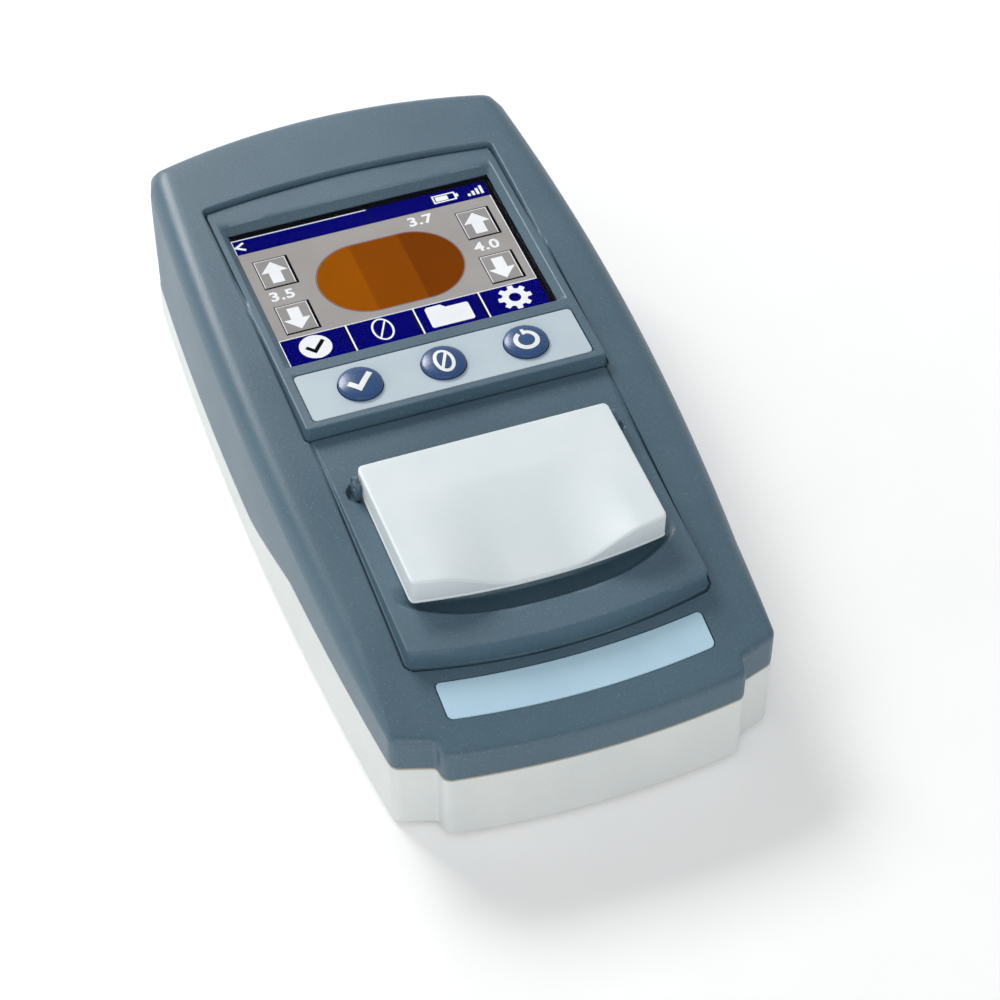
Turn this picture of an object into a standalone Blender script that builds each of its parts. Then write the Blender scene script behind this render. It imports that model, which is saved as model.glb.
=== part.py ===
"""Handheld bench colorimeter for petroleum products.

Metres, +Z up. X runs across the instrument, +Y to its rear, and the origin
lies at the middle of its footprint, on the surface that the feet stand on.
"""
import math

import bmesh
import bpy
from mathutils import Matrix, Vector

# Body
BODY_LENGTH = 0.193
BODY_WIDTH = 0.0974
SIDE_BOW = 0.0036
SIDE_ARC_SHARE = 0.4352
SIDE_STATIONS = 10
WALL = 0.0020
SEAM_GAP = 0.0010
FOOT_HEIGHT = 0.0008
FLOOR = 0.0016
DRAFT = 0.0012
DRAFT_HEIGHT = 0.038

# Front arc, notched corners and rear arc of the plan
FRONT_ARC_HALF = 0.0353
FRONT_ARC_SAG = 0.0029
NOTCH_DEPTH = 0.0042
NOTCH_FLARE = 0.0004
SHOULDER_SLOPE = 0.0030
FRONT_CORNER_RADIUS = 0.0023
NOTCH_RADIUS = 0.0015
SHOULDER_RADIUS = 0.0027
REAR_ARC_HALF = 0.0400
REAR_ARC_SAG = 0.0053
REAR_CORNER_RADIUS = 0.0056
REAR_CORNER_RUN = 0.0084
SHOULDER_RUN = 0.0054
ARC_STATIONS = 4
MITRE_LIMIT = 0.5

# Heights
REAR_TOP = 0.0450
TOP_DROP = 0.0188
TOP_CURVE_POWER = 2.25
FRONT_SEAM = 0.0188
REAR_SEAM = 0.0100
SEAM_BREAK_FRONT_SHARE = 0.3601
SEAM_BREAK_REAR_SHARE = 0.5104
SIDE_FILLET = 0.0048
FRONT_FILLET = 0.0014
FILLET_START_SHARE = 0.0596
FILLET_END_SHARE = 0.1891
FILLET_STEPS = 3
BOTTOM_CHAMFER = 0.0003
INNER_CHAMFER = 0.0026

# Panel with the display window and the keys
PANEL_TOP = 0.0436
PANEL_SIDE_MARGIN = 0.0037
PANEL_REAR_SHARE = 0.1181
PANEL_ARC_SAG = 0.0028
PANEL_CORNER_RADIUS = 0.0010
PANEL_BLOCK = 0.0062
PANEL_EDGE_CLEARANCE = 0.0003
WINDOW_WIDTH = 0.0650
WINDOW_DEPTH_SHARE = 0.2456
WINDOW_REAR_SHARE = 0.0544
WINDOW_BEVEL = 0.0016
WINDOW_LAND = 0.0016
PANE_THICKNESS = 0.0010
PANE_OVERLAP = 0.0028
GAP = 0.0003
KEY_DIAMETER_SHARE = 0.0534
KEY_PITCH = 0.0200
KEY_ROW_REAR_SHARE = 0.0648
KEY_ROW_FRONT_SHARE = 0.0508
KEY_CLEARANCE = 0.0004
KEY_TRAVEL = 0.0006
KEY_PROUD = 0.0007
KEY_DOME = 0.0010
KEY_DOME_ANGLES = (0, 25, 50, 70, 90)
KEY_SKIRT = 0.0014
KEY_FLANGE = 0.0012
FOIL_WIDTH = 0.0672
FOIL_DEPTH_SHARE = 0.0793
FOIL_THICKNESS = 0.0005
FOIL_RADIUS = 0.0012
ROUND_SEGMENTS = 16

# Plateau under the lid
PLATEAU_SIDE_STEP = 0.0012
PLATEAU_FRONT_SHARE = 0.0466
PLATEAU_ARC_SAG = 0.0043
PLATEAU_FRONT_TOP = 0.0358
PLATEAU_REAR_TOP = 0.0404
PLATEAU_BLOCK = 0.0075
PLATEAU_RADIUS = 0.0010

# Lid and its hinge
LID_SIDE_STEP = 0.0053
LID_LENGTH_SHARE = 0.2052
LID_REAR_SHARE = 0.0803
LID_ARC_SHARE = 0.1035
LID_REAR_THICKNESS = 0.0056
LID_FRONT_THICKNESS = 0.0071
LID_CORNER_RADIUS = 0.0012
LID_SKIN = 0.0018
LID_WALL = 0.0022
LID_RIM_ROOM = 0.0022
LID_GAP = 0.0003
HINGE_RADIUS = 0.0025
PIN_RADIUS = 0.00115
PIN_CLEARANCE = 0.00015
LUG_WIDTH = 0.0018
LUG_GAP = 0.0003
LUG_ROOT = 0.0008
SCOOP_DEPTH = 0.0054
SCOOP_HALF_WIDTH = 0.0200
SCOOP_LENGTH_SHARE = 0.4293
SCOOP_SEGMENTS = 64

# Sample well and optics
WELL_WIDTH = 0.0350
WELL_DEPTH_SHARE = 0.0674
WELL_WALL = 0.0016
BEAM_HEIGHT = 0.0180
BEAM_DIAMETER = 0.0080
LENS_DIAMETER = 0.0110
LENS_THICKNESS = 0.0012
LENS_SEAT = 0.0008
LAMP_DIAMETER = 0.0080
LAMP_LENGTH = 0.0070
OPTIC_BOARD_WIDTH = 0.0220
OPTIC_BOARD_HEIGHT = 0.0220
BOARD_THICKNESS = 0.0016
SENSOR_SIZE = 0.0070
SENSOR_THICKNESS = 0.0020
SEAL_WIDTH = 0.0018
SEAL_HEIGHT = 0.0012
SEAL_MARGIN = 0.0006
SEAL_TO_BARREL = 0.0008

# Display and boards
DISPLAY_SIDE_LAND = 0.0022
DISPLAY_END_LAND = 0.0025
DISPLAY_THICKNESS = 0.0024
FRAME_BORDER = 0.0020
FRAME_THICKNESS = 0.0012
MAIN_BOARD_WIDTH = 0.0660
MAIN_BOARD_END_ROOM = 0.0075
SWITCH_SIZE = 0.0060
SWITCH_HEIGHT = 0.0012
PLUNGER_DIAMETER = 0.0034
BUZZER_DIAMETER = 0.0120
BUZZER_HEIGHT = 0.0040
USB_WIDTH = 0.0090
USB_HEIGHT = 0.0032
USB_LENGTH = 0.0105
USB_WALL = 0.0004
USB_CLEARANCE = 0.0003
USB_TONGUE = 0.0007
POST_DIAMETER = 0.0060
BOARD_SCREW_INSET = 0.0045
BOARD_SCREW_DIAMETER = 0.0022
BOARD_SCREW_HEAD = 0.0042
BOARD_SCREW_LENGTH = 0.0050
SCREW_HEAD_HEIGHT = 0.0014
SCREW_CLEARANCE = 0.0003
SOCKET_SHARE = 0.45
SOCKET_DEPTH_SHARE = 0.6

# Batteries
CELL_DIAMETER = 0.0143
CELL_LENGTH = 0.0495
CELL_NUB_DIAMETER = 0.0055
CELL_NUB_LENGTH = 0.0012
CELL_PITCH = 0.0152
CELL_COUNT = 4
TRAY_WALL = 0.0012
TRAY_CENTRE_SHARE = 0.2720
CONTACT_THICKNESS = 0.0006
CONTACT_ROOM = 0.0022
CONTACT_BUMP_DIAMETER = 0.0060
CONTACT_BUMP = 0.0009
DOOR_WIDTH = 0.0600
DOOR_END_LAND = 0.0025
DOOR_CLEARANCE = 0.0003
DOOR_THICKNESS = 0.0016
DOOR_RADIUS = 0.0020
DOOR_RIB_HEIGHT = 0.0010
DOOR_RIB_INSET = 0.0040
DOOR_TONGUE_WIDTH = 0.0100
DOOR_TONGUE_REACH = 0.0014
DOOR_TONGUE_RISE = 0.0002
DOOR_TONGUE_PITCH = 0.0360
DOOR_GRIP_WIDTH = 0.0120
DOOR_GRIP_DEPTH = 0.0050
DOOR_GRIP_RECESS = 0.0007

# Fixings
BASE_POST_DIAMETER = 0.0075
COVER_POST_DIAMETER = 0.0070
SCREW_DIAMETER = 0.0029
SCREW_HEAD = 0.0054
SCREW_ENGAGEMENT = 0.0080
SCREW_SEAT = 0.0016
SCREW_X = 0.0385
SCREW_FRONT_INSET = 0.0180
SCREW_REAR_INSET = 0.0165
FOOT_DIAMETER = 0.0100
FOOT_SEAT = 0.0005
FOOT_FRONT_X = 0.0340
FOOT_REAR_X = 0.0290
FOOT_FRONT_INSET = 0.0305
FOOT_REAR_INSET = 0.0110

# Front label
LABEL_HALF_WIDTH = 0.0308
LABEL_INSET = 0.0090
LABEL_DEPTH = 0.0092
LABEL_ARC_SAG = 0.0023
LABEL_THICKNESS = 0.0004
LABEL_RADIUS = 0.0012

OVERRUN = 0.0100
MERGE = 0.00001

# Places that follow from the sizes
HALF_LENGTH = BODY_LENGTH / 2
HALF_WIDTH = BODY_WIDTH / 2
SIDE_ARC_HALF = BODY_LENGTH * SIDE_ARC_SHARE
SEAM_BREAK_FRONT = -HALF_LENGTH + BODY_LENGTH * SEAM_BREAK_FRONT_SHARE
SEAM_BREAK_REAR = -HALF_LENGTH + BODY_LENGTH * SEAM_BREAK_REAR_SHARE
FILLET_START = -HALF_LENGTH + BODY_LENGTH * FILLET_START_SHARE
FILLET_END = -HALF_LENGTH + BODY_LENGTH * FILLET_END_SHARE
PANEL_HALF_WIDTH = WINDOW_WIDTH / 2 + PANEL_SIDE_MARGIN
PANEL_REAR = HALF_LENGTH - BODY_LENGTH * PANEL_REAR_SHARE
WINDOW_DEPTH = BODY_LENGTH * WINDOW_DEPTH_SHARE
WINDOW_CENTRE_Y = PANEL_REAR - BODY_LENGTH * WINDOW_REAR_SHARE - WINDOW_DEPTH / 2
KEY_ROW_Y = WINDOW_CENTRE_Y - WINDOW_DEPTH / 2 - BODY_LENGTH * KEY_ROW_REAR_SHARE
KEY_DIAMETER = BODY_LENGTH * KEY_DIAMETER_SHARE
FOIL_DEPTH = BODY_LENGTH * FOIL_DEPTH_SHARE
PANEL_FRONT = KEY_ROW_Y - BODY_LENGTH * KEY_ROW_FRONT_SHARE
LID_REAR_Y = PANEL_FRONT - BODY_LENGTH * LID_REAR_SHARE
LID_LENGTH = BODY_LENGTH * LID_LENGTH_SHARE
LID_ARC_SAG = LID_LENGTH * LID_ARC_SHARE
SCOOP_LENGTH = LID_LENGTH * SCOOP_LENGTH_SHARE
PLATEAU_HALF_WIDTH = PANEL_HALF_WIDTH - PLATEAU_SIDE_STEP
LID_HALF_WIDTH = PLATEAU_HALF_WIDTH - LID_SIDE_STEP
WELL_DEPTH = BODY_LENGTH * WELL_DEPTH_SHARE
SEAL_HALF_DEPTH = WELL_DEPTH / 2 + WELL_WALL + SEAL_MARGIN + SEAL_WIDTH
WELL_CENTRE_Y = LID_REAR_Y - HINGE_RADIUS * 3 - SEAL_TO_BARREL - SEAL_HALF_DEPTH
PLATEAU_FRONT = LID_REAR_Y - LID_LENGTH - BODY_LENGTH * PLATEAU_FRONT_SHARE
DISPLAY_WIDTH = WINDOW_WIDTH + DISPLAY_SIDE_LAND * 2
DISPLAY_DEPTH = WINDOW_DEPTH + DISPLAY_END_LAND * 2
MAIN_BOARD_REAR = HALF_LENGTH - MAIN_BOARD_END_ROOM
TRAY_CENTRE_Y = HALF_LENGTH - BODY_LENGTH * TRAY_CENTRE_SHARE
DOOR_DEPTH = CELL_LENGTH + DOOR_END_LAND
SCREW_FRONT_Y = -HALF_LENGTH + SCREW_FRONT_INSET
SCREW_REAR_Y = HALF_LENGTH - SCREW_REAR_INSET
FOOT_FRONT_Y = -HALF_LENGTH + FOOT_FRONT_INSET
FOOT_REAR_Y = HALF_LENGTH - FOOT_REAR_INSET
LABEL_FRONT = -HALF_LENGTH + LABEL_INSET
FLOOR_TOP = FOOT_HEIGHT + FLOOR
PLATEAU_REAR = PANEL_FRONT + WALL
MAIN_BOARD_FRONT = PLATEAU_REAR + GAP
PLATEAU_RISE = PLATEAU_REAR_TOP - PLATEAU_FRONT_TOP
PLATEAU_RUN = PANEL_FRONT - PLATEAU_FRONT
PLATEAU_ANGLE = math.atan2(PLATEAU_RISE, PLATEAU_RUN)
PANE_TOP = PANEL_TOP - WINDOW_LAND - GAP
DISPLAY_TOP = PANE_TOP - PANE_THICKNESS - GAP
FRAME_TOP = DISPLAY_TOP - DISPLAY_THICKNESS - GAP
BOARD_TOP = FRAME_TOP - FRAME_THICKNESS - GAP
BOARD_BOTTOM = BOARD_TOP - BOARD_THICKNESS
CELL_Z = FLOOR_TOP + DOOR_RIB_HEIGHT + GAP + GAP + CELL_DIAMETER / 2


# Small helpers

def collection(name):
    """Return a new collection that is linked to the scene."""
    group = bpy.data.collections.new(name)
    bpy.context.scene.collection.children.link(group)
    return group


def material(name, colour, roughness, metallic=0.0):
    """Return a Principled material with one plain colour."""
    made = bpy.data.materials.new(name)
    made.use_nodes = True
    shader = made.node_tree.nodes["Principled BSDF"]
    shader.inputs["Base Color"].default_value = (*colour, 1.0)
    shader.inputs["Roughness"].default_value = roughness
    shader.inputs["Metallic"].default_value = metallic
    made.diffuse_color = (*colour, 1.0)
    return made


def add_object(name, bm, group, look=None):
    """Turn a bmesh into an object of the given collection."""
    bmesh.ops.remove_doubles(bm, verts=bm.verts, dist=MERGE)
    bmesh.ops.recalc_face_normals(bm, faces=bm.faces)
    mesh = bpy.data.meshes.new(name)
    bm.to_mesh(mesh)
    bm.free()
    made = bpy.data.objects.new(name, mesh)
    group.objects.link(made)
    if look is not None:
        mesh.materials.append(look)
    return made


def part(name, bm, look):
    """Add one sub-part of the instrument."""
    return add_object(name, bm, parts, look)


def cutter(name, bm):
    """Add a shape that only cuts or joins and isn't part of the model."""
    made = add_object(name, bm, cutters)
    made.hide_render = True
    made.display_type = "WIRE"
    return made


def boolean(target, tool, operation="DIFFERENCE"):
    """Cut a part with a cutter, or join a shape to it."""
    modifier = target.modifiers.new(tool.name, "BOOLEAN")
    modifier.operation = operation
    modifier.solver = "EXACT"
    modifier.object = tool


def box(size, centre):
    """A box given by its full sizes and its centre."""
    bm = bmesh.new()
    bmesh.ops.create_cube(bm, size=1.0)
    bmesh.ops.scale(bm, vec=Vector(size), verts=bm.verts)
    bmesh.ops.translate(bm, vec=Vector(centre), verts=bm.verts)
    return bm


def span_box(low, high):
    """A box given by two opposite corners."""
    size = [b - a for a, b in zip(low, high)]
    centre = [(a + b) / 2 for a, b in zip(low, high)]
    return box(size, centre)


def cone(bottom_radius, top_radius, depth, centre, axis="Z", segments=ROUND_SEGMENTS):
    """A cone or cylinder along X, Y or Z, from its centre."""
    bm = bmesh.new()
    bmesh.ops.create_cone(
        bm, cap_ends=True, segments=segments, radius1=bottom_radius, radius2=top_radius, depth=depth)
    if axis == "X":
        bmesh.ops.rotate(bm, matrix=Matrix.Rotation(math.radians(90), 3, "Y"), verts=bm.verts)
    if axis == "Y":
        bmesh.ops.rotate(bm, matrix=Matrix.Rotation(math.radians(-90), 3, "X"), verts=bm.verts)
    bmesh.ops.translate(bm, vec=Vector(centre), verts=bm.verts)
    return bm


def cylinder(radius, low, high, x, y, segments=ROUND_SEGMENTS):
    """An upright cylinder between two heights."""
    return cone(radius, radius, high - low, (x, y, (low + high) / 2), segments=segments)


def merged(*shapes):
    """Several closed bmeshes in one, for cutters that don't meet each other."""
    whole = bmesh.new()
    for shape in shapes:
        mesh = bpy.data.meshes.new("shape")
        shape.to_mesh(mesh)
        shape.free()
        whole.from_mesh(mesh)
        bpy.data.meshes.remove(mesh)
    return whole


def rounded(points, radii, steps=3):
    """Round the corners of an open run of points; a radius of 0 keeps the point."""
    result = []
    last = len(points) - 1
    for index, (point, radius) in enumerate(zip(points, radii)):
        here = Vector(point)
        if radius == 0 or index in (0, last):
            result.append(here)
            continue
        before = (Vector(points[index - 1]) - here).normalized()
        after = (Vector(points[index + 1]) - here).normalized()
        half = math.acos(max(-1.0, min(1.0, before.dot(after)))) / 2
        reach = radius / math.tan(half)
        start, end = here + before * reach, here + after * reach
        centre = here + (before + after).normalized() * (radius / math.sin(half))
        first = start - centre
        turn = first.angle_signed(end - centre)
        for step in range(steps + 1):
            angle = -turn * step / steps
            result.append(centre + Matrix.Rotation(angle, 2) @ first)
    return [(p.x, p.y) for p in result]


def arc_run(half_width, y_centre, sag, stations):
    """Half of a shallow arc, from the middle to +X, whose ends lie sag away in Y."""
    run = []
    for index in range(stations + 1):
        x = half_width * index / stations
        run.append((x, y_centre + sag * (x / half_width) ** 2))
    return run


def loft(levels, ring=False):
    """A closed solid, symmetric in X, from levels of half outlines.

    Each level runs from its front to its rear at x >= 0, and all levels have the
    same number of points. A point on the middle plane that lies on a straight
    edge is left out. The first and the last level are closed by rungs, faces
    between a point, its mirror image and the next pair, or joined in a ring.
    """
    starts_straight = levels[0][0][1] == levels[0][1][1]
    ends_straight = levels[0][-1][1] == levels[0][-2][1]
    first, last = int(starts_straight), len(levels[0]) - int(ends_straight)
    bm = bmesh.new()
    rows = []
    for level in levels:
        right = [bm.verts.new(point) for point in level[first:last]]
        left = [vert if vert.co.x == 0 else bm.verts.new(vert.co * Vector((-1, 1, 1))) for vert in right]
        rows.append((right, left))
    pairs = list(zip(rows[:-1], rows[1:]))
    if ring:
        pairs.append((rows[-1], rows[0]))
    count = last - first
    for (right_a, left_a), (right_b, left_b) in pairs:
        for i in range(count - 1):
            bm.faces.new((right_a[i], right_a[i + 1], right_b[i + 1], right_b[i]))
            bm.faces.new((left_a[i + 1], left_a[i], left_b[i], left_b[i + 1]))
        if starts_straight:
            bm.faces.new((left_a[0], right_a[0], right_b[0], left_b[0]))
        if ends_straight:
            bm.faces.new((right_a[-1], left_a[-1], left_b[-1], right_b[-1]))
    for right, left in [] if ring else (rows[0], rows[-1]):
        for i in range(count - 1):
            corners = [right[i], right[i + 1], left[i + 1], left[i]]
            bm.faces.new(list(dict.fromkeys(corners)))
    bmesh.ops.triangulate(bm, faces=[f for f in bm.faces if len(f.verts) > 3])
    return bm


def prism(outline, low, high):
    """A loft between two heights, each a number or a function of y."""
    low_at = low if callable(low) else lambda y: low
    high_at = high if callable(high) else lambda y: high
    return loft([[(x, y, low_at(y)) for x, y in outline], [(x, y, high_at(y)) for x, y in outline]])


# Body outline

def side_x(y):
    """Half width of the body where its walls are widest, at the given y."""
    return HALF_WIDTH - SIDE_BOW * (y / SIDE_ARC_HALF) ** 2


def body_outline():
    """Half plan outline of the body: front arc, notch, shoulder, side, rear arc."""
    points = arc_run(FRONT_ARC_HALF, -HALF_LENGTH, FRONT_ARC_SAG, ARC_STATIONS)
    radii = [0] * ARC_STATIONS + [FRONT_CORNER_RADIUS]
    notch_y = -HALF_LENGTH + FRONT_ARC_SAG + NOTCH_DEPTH
    points.append((FRONT_ARC_HALF + NOTCH_FLARE, notch_y))
    radii.append(NOTCH_RADIUS)
    shoulder_y = notch_y + SHOULDER_SLOPE
    points.append((side_x(shoulder_y), shoulder_y))
    radii.append(SHOULDER_RADIUS)
    corner_y = HALF_LENGTH - REAR_ARC_SAG * (HALF_WIDTH / REAR_ARC_HALF) ** 2
    side_front = shoulder_y + SHOULDER_RUN
    side_rear = corner_y - REAR_CORNER_RUN
    for index in range(SIDE_STATIONS + 1):
        y = side_front + (side_rear - side_front) * index / SIDE_STATIONS
        points.append((side_x(y), y))
        radii.append(0)
    corner_x = side_x(corner_y)
    rear = arc_run(corner_x, HALF_LENGTH, -REAR_ARC_SAG * (corner_x / REAR_ARC_HALF) ** 2, ARC_STATIONS)
    rear.reverse()
    points += rear
    radii += [REAR_CORNER_RADIUS] + [0] * ARC_STATIONS
    return rounded(points, radii)


def inset(outline, distance):
    """Move a half outline inwards; the distance is a number or a function of y."""
    reach = distance if callable(distance) else lambda y: distance
    points = [Vector(p) for p in outline]
    mirrored = [Vector((-points[1].x, points[1].y))] + points + [Vector((-points[-2].x, points[-2].y))]
    result = []
    for before, here, after in zip(mirrored[:-2], points, mirrored[2:]):
        first, second = (here - before).normalized(), (after - here).normalized()
        normal = Vector((first.y + second.y, -first.x - second.x)).normalized()
        mitre = max(normal.dot(Vector((first.y, -first.x))), MITRE_LIMIT)
        moved = here - normal * (reach(here.y) / mitre)
        result.append((max(moved.x, 0.0), moved.y))
    result[0] = (0.0, result[0][1])
    result[-1] = (0.0, result[-1][1])
    return result


def top_z(y):
    """Height of the cover's top surface along the body."""
    share = min(max((y + HALF_LENGTH) / BODY_LENGTH, 0.0), 1.0)
    return REAR_TOP - TOP_DROP * (1 - share) ** TOP_CURVE_POWER


def seam_z(y):
    """Height of the seam between the shells: high in front, low behind the break."""
    share = (y - SEAM_BREAK_FRONT) / (SEAM_BREAK_REAR - SEAM_BREAK_FRONT)
    share = min(max(share, 0.0), 1.0)
    return FRONT_SEAM + (REAR_SEAM - FRONT_SEAM) * share


def fillet_radius(y):
    """Radius of the cover's top edge: small in front, large along the sides."""
    share = (y - FILLET_START) / (FILLET_END - FILLET_START)
    share = min(max(share, 0.0), 1.0)
    return FRONT_FILLET + (SIDE_FILLET - FRONT_FILLET) * share


def drafted(outline, height):
    """Place a half outline at a height, narrowed towards the bottom by the draft."""
    level = []
    for x, y in outline:
        z = height(y) if callable(height) else height
        narrowing = DRAFT * (1 - min(z / DRAFT_HEIGHT, 1.0)) / HALF_WIDTH
        level.append((x * (1 - narrowing), y, z))
    return level


# Shells

def make_cover():
    """The upper shell with its panel, plateau, posts, holes and pockets."""
    levels = [drafted(OUTLINE, lambda y: seam_z(y) + SEAM_GAP / 2)]
    for step in range(FILLET_STEPS + 1):
        angle = math.radians(90) * step / FILLET_STEPS
        ring = inset(OUTLINE, lambda y: fillet_radius(y) * (1 - math.cos(angle)))
        levels.append(drafted(ring, lambda y: top_z(y) - fillet_radius(y) * (1 - math.sin(angle))))
    cover = part("top_cover", loft(levels), SLATE)

    wall = inset(OUTLINE, WALL)
    neck = inset(OUTLINE, WALL + INNER_CHAMFER)
    hollow = loft([
        drafted(wall, -OVERRUN),
        drafted(wall, lambda y: top_z(y) - WALL - INNER_CHAMFER),
        drafted(neck, lambda y: top_z(y) - WALL)])
    boolean(cover, cutter("cover_hollow", hollow))

    plateau = rounded(
        arc_run(PLATEAU_HALF_WIDTH, PLATEAU_FRONT - PLATEAU_ARC_SAG, PLATEAU_ARC_SAG, ARC_STATIONS)
        + [(PLATEAU_HALF_WIDTH, PLATEAU_REAR), (0.0, PLATEAU_REAR)],
        [0] * ARC_STATIONS + [PLATEAU_RADIUS, 0, 0])
    boolean(cover, cutter("plateau_block", prism(
        plateau, lambda y: plateau_z(y) - PLATEAU_BLOCK, plateau_z)), "UNION")

    block = prism(panel_outline(0.0), PANEL_TOP - PANEL_BLOCK, PANEL_TOP + OVERRUN)
    boolean(cover, cutter("panel_block", block), "UNION")
    clear = prism(panel_outline(PANEL_EDGE_CLEARANCE), PANEL_TOP, PANEL_TOP + OVERRUN * 2)
    boolean(cover, cutter("panel_face", clear))

    posts = [
        cylinder(COVER_POST_DIAMETER / 2, seam_z(y) + SEAM_GAP, top_z(y) - WALL / 2, side * SCREW_X, y)
        for side in (-1, 1) for y in (SCREW_FRONT_Y, SCREW_REAR_Y)]
    boolean(cover, cutter("cover_posts", merged(*posts)), "UNION")
    board_posts = [
        cylinder(POST_DIAMETER / 2, BOARD_TOP + GAP, board_post_top(y), x, y)
        for x, y in board_screw_places()]
    boolean(cover, cutter("cover_board_posts", merged(*board_posts)), "UNION")

    make_cover_openings(cover)
    return cover


def plateau_z(y):
    """Height of the plateau's sloping top."""
    return PLATEAU_FRONT_TOP + PLATEAU_RISE * (y - PLATEAU_FRONT) / PLATEAU_RUN


def panel_outline(margin):
    """Half outline of the panel, straight in front and arched at its rear."""
    front, half = PANEL_FRONT - margin, PANEL_HALF_WIDTH + margin
    rear = arc_run(half, PANEL_REAR + margin, -PANEL_ARC_SAG, ARC_STATIONS)
    rear.reverse()
    return rounded(
        [(0.0, front), (half, front)] + rear,
        [0, PANEL_CORNER_RADIUS, PANEL_CORNER_RADIUS] + [0] * ARC_STATIONS)


def board_screw_places():
    """Where the main board hangs under the cover."""
    x = MAIN_BOARD_WIDTH / 2 - BOARD_SCREW_INSET / 2
    front = MAIN_BOARD_FRONT + BOARD_SCREW_INSET / 2
    rear = MAIN_BOARD_REAR - BOARD_SCREW_INSET
    return [(side * x, y) for side in (-1, 1) for y in (front, rear)]


def board_post_top(y):
    """Height inside the cover's skin where a post for the main board ends."""
    if y < PANEL_REAR:
        return PANEL_TOP - PANEL_BLOCK + WALL / 2
    return top_z(y) - WALL / 2


def make_cover_openings(cover):
    """Everything that is cut through or into the cover."""
    bevel = bmesh.new()
    bmesh.ops.create_cube(bevel, size=1.0)
    reach = WINDOW_BEVEL + OVERRUN
    for vert in bevel.verts:
        upper = vert.co.z > 0
        grow = reach if upper else 0.0
        half_x, half_y = WINDOW_WIDTH / 2 + grow, WINDOW_DEPTH / 2 + grow
        z = PANEL_TOP + OVERRUN if upper else PANEL_TOP - WINDOW_BEVEL
        vert.co = (math.copysign(half_x, vert.co.x), WINDOW_CENTRE_Y + math.copysign(half_y, vert.co.y), z)
    boolean(cover, cutter("window_bevel", bevel))
    boolean(cover, cutter("window_hole", box(
        (WINDOW_WIDTH, WINDOW_DEPTH, OVERRUN * 2), (0, WINDOW_CENTRE_Y, PANEL_TOP - OVERRUN / 2))))
    pane_room = PANE_OVERLAP + GAP
    pocket_top = PANEL_TOP - WINDOW_LAND
    boolean(cover, cutter("pane_pocket", span_box(
        (-WINDOW_WIDTH / 2 - pane_room, WINDOW_CENTRE_Y - WINDOW_DEPTH / 2 - pane_room, BOARD_TOP + GAP * 2),
        (WINDOW_WIDTH / 2 + pane_room, WINDOW_CENTRE_Y + WINDOW_DEPTH / 2 + pane_room, pocket_top))))

    foil_floor = PANEL_TOP - FOIL_THICKNESS - GAP
    boolean(cover, cutter("foil_pocket", prism(
        foil_outline(GAP), foil_floor, PANEL_TOP + OVERRUN)))
    shafts = [
        cylinder(KEY_DIAMETER / 2 + KEY_CLEARANCE, PANEL_TOP - OVERRUN, PANEL_TOP + OVERRUN, x, KEY_ROW_Y)
        for x in KEY_PLACES.values()]
    boolean(cover, cutter("key_holes", merged(*shafts)))
    flange_room = KEY_FLANGE + KEY_CLEARANCE
    pockets = [
        cylinder(KEY_DIAMETER / 2 + flange_room, PANEL_TOP - OVERRUN, key_flange_top() + GAP, x, KEY_ROW_Y)
        for x in KEY_PLACES.values()]
    boolean(cover, cutter("key_pockets", merged(*pockets)))

    boolean(cover, cutter("well_mouth", box(
        (WELL_WIDTH + WELL_WALL * 2 + GAP * 2, WELL_DEPTH + WELL_WALL * 2 + GAP * 2, PLATEAU_BLOCK * 4),
        (0, WELL_CENTRE_Y, plateau_z(WELL_CENTRE_Y)))))

    label_floor = LABEL_THICKNESS + GAP
    boolean(cover, cutter("label_pocket", label_band(
        GAP, lambda y: top_z(y) - label_floor, lambda y: top_z(y) + OVERRUN)))

    usb_z = BOARD_TOP + USB_HEIGHT / 2 + GAP
    hole = (USB_WIDTH + USB_CLEARANCE * 2, OVERRUN * 2, USB_HEIGHT + USB_CLEARANCE * 2)
    boolean(cover, cutter("usb_hole", box(hole, (0, HALF_LENGTH, usb_z))))

    screw_holes = []
    for side in (-1, 1):
        for y in (SCREW_FRONT_Y, SCREW_REAR_Y):
            low = seam_z(y) - OVERRUN
            high = seam_z(y) + SEAM_GAP + SCREW_ENGAGEMENT + GAP
            screw_holes.append(cylinder(SCREW_DIAMETER / 2 + SCREW_CLEARANCE, low, high, side * SCREW_X, y))
    for x, y in board_screw_places():
        high = BOARD_BOTTOM + BOARD_SCREW_LENGTH + GAP
        screw_holes.append(cylinder(
            BOARD_SCREW_DIAMETER / 2 + SCREW_CLEARANCE, BOARD_BOTTOM, high, x, y))
    boolean(cover, cutter("cover_screw_holes", merged(*screw_holes)))


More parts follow.
